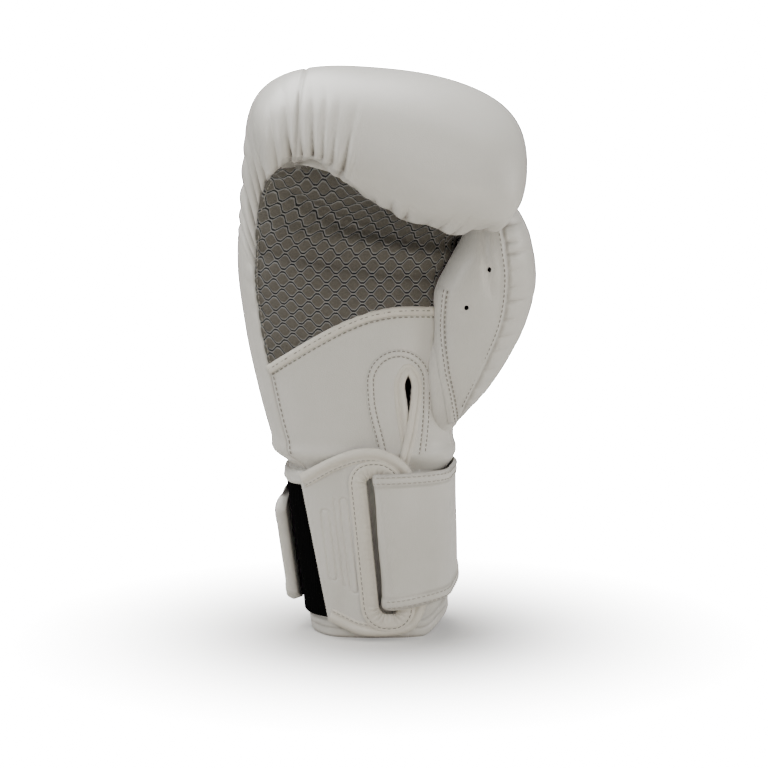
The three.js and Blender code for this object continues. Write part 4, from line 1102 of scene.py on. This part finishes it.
def area(name, at, aim, size, power, colour=(1, 1, 1)):
    data = bpy.data.lights.new(name, "AREA")
    data.shape, data.energy, data.color = "RECTANGLE", power, colour
    data.size, data.size_y = size
    light = bpy.data.objects.new(name, data)
    bpy.context.scene.collection.objects.link(light)
    light.location = at
    way = np.array(aim, float) - np.array(at, float)
    light.rotation_euler = (math.acos(-way[2] / np.linalg.norm(way)), 0, math.atan2(-way[0], way[1]))


bpy.ops.mesh.primitive_plane_add(size=12, location=(0, 0, 0))
floor = bpy.context.object
floor.name = "floor"
m, t, shader, coords = surface_of("floor", 0.9, 0.1)
shader["Base Color"].default_value = (0.5, 0.485, 0.455, 1)
shader["Emission Color"].default_value = (1, 1, 1, 1)
# Away from the glove the floor glows to the camera, and so blends into the background.
far = node(t, "ShaderNodeVectorMath", {0: coords}, operation="LENGTH").outputs["Value"]
fade = node(t, "ShaderNodeMapRange", {"Value": far, "From Min": 0.03, "From Max": 0.42, "To Min": 0.3,
                                      "To Max": BACKGROUND}, interpolation_type="SMOOTHSTEP")
to_camera = node(t, "ShaderNodeLightPath").outputs["Is Camera Ray"]
feed(shader["Emission Strength"], calc(t, "MULTIPLY", to_camera, fade.outputs["Result"]))
floor.data.materials.append(m)
area("top light", (-0.35, 0.35, 1.3), (0, 0, 0.1), (1.3, 1.0), 36)
area("left light", (-1.2, -0.55, 0.75), (0, 0, 0.15), (0.4, 0.9), 8)
area("right light", (1.3, -0.3, 0.6), (0, 0, 0.16), (0.5, 0.8), 8)
area("front light", (0.45, -1.0, 1.1), (0.02, 0, 0.24), (0.35, 0.35), 2.6)
area("low light", (0.5, -1.1, 0.25), (0, 0, 0.1), (0.5, 0.5), 4.4, (1, 0.93, 0.82))

world = bpy.data.worlds.new("studio")
bpy.context.scene.world = world
world.use_nodes = True
t = world.node_tree
lit = t.nodes["Background"]
backdrop = node(t, "ShaderNodeBackground")
for shown, strength in ((lit, 0.19), (backdrop, BACKGROUND)):
    shown.inputs["Color"].default_value = (1, 1, 1, 1)
    shown.inputs["Strength"].default_value = strength
to_camera = node(t, "ShaderNodeLightPath").outputs["Is Camera Ray"]
both = node(t, "ShaderNodeMixShader", {0: to_camera, 1: lit.outputs[0], 2: backdrop.outputs[0]})
feed(t.nodes["World Output"].inputs["Surface"], both.outputs[0])

camera = bpy.data.objects.new("camera", bpy.data.cameras.new("camera"))
bpy.context.scene.collection.objects.link(camera)
bpy.context.scene.camera = camera
camera.data.lens = 100  # the field of view is the photograph's
back, up = CAMERA_DISTANCE * math.cos(CAMERA_TILT), CAMERA_DISTANCE * math.sin(CAMERA_TILT)
camera.location = (0, -back * MM, (CAMERA_HEIGHT + up) * MM)
camera.rotation_euler = (math.pi / 2 - CAMERA_TILT, 0, 0)
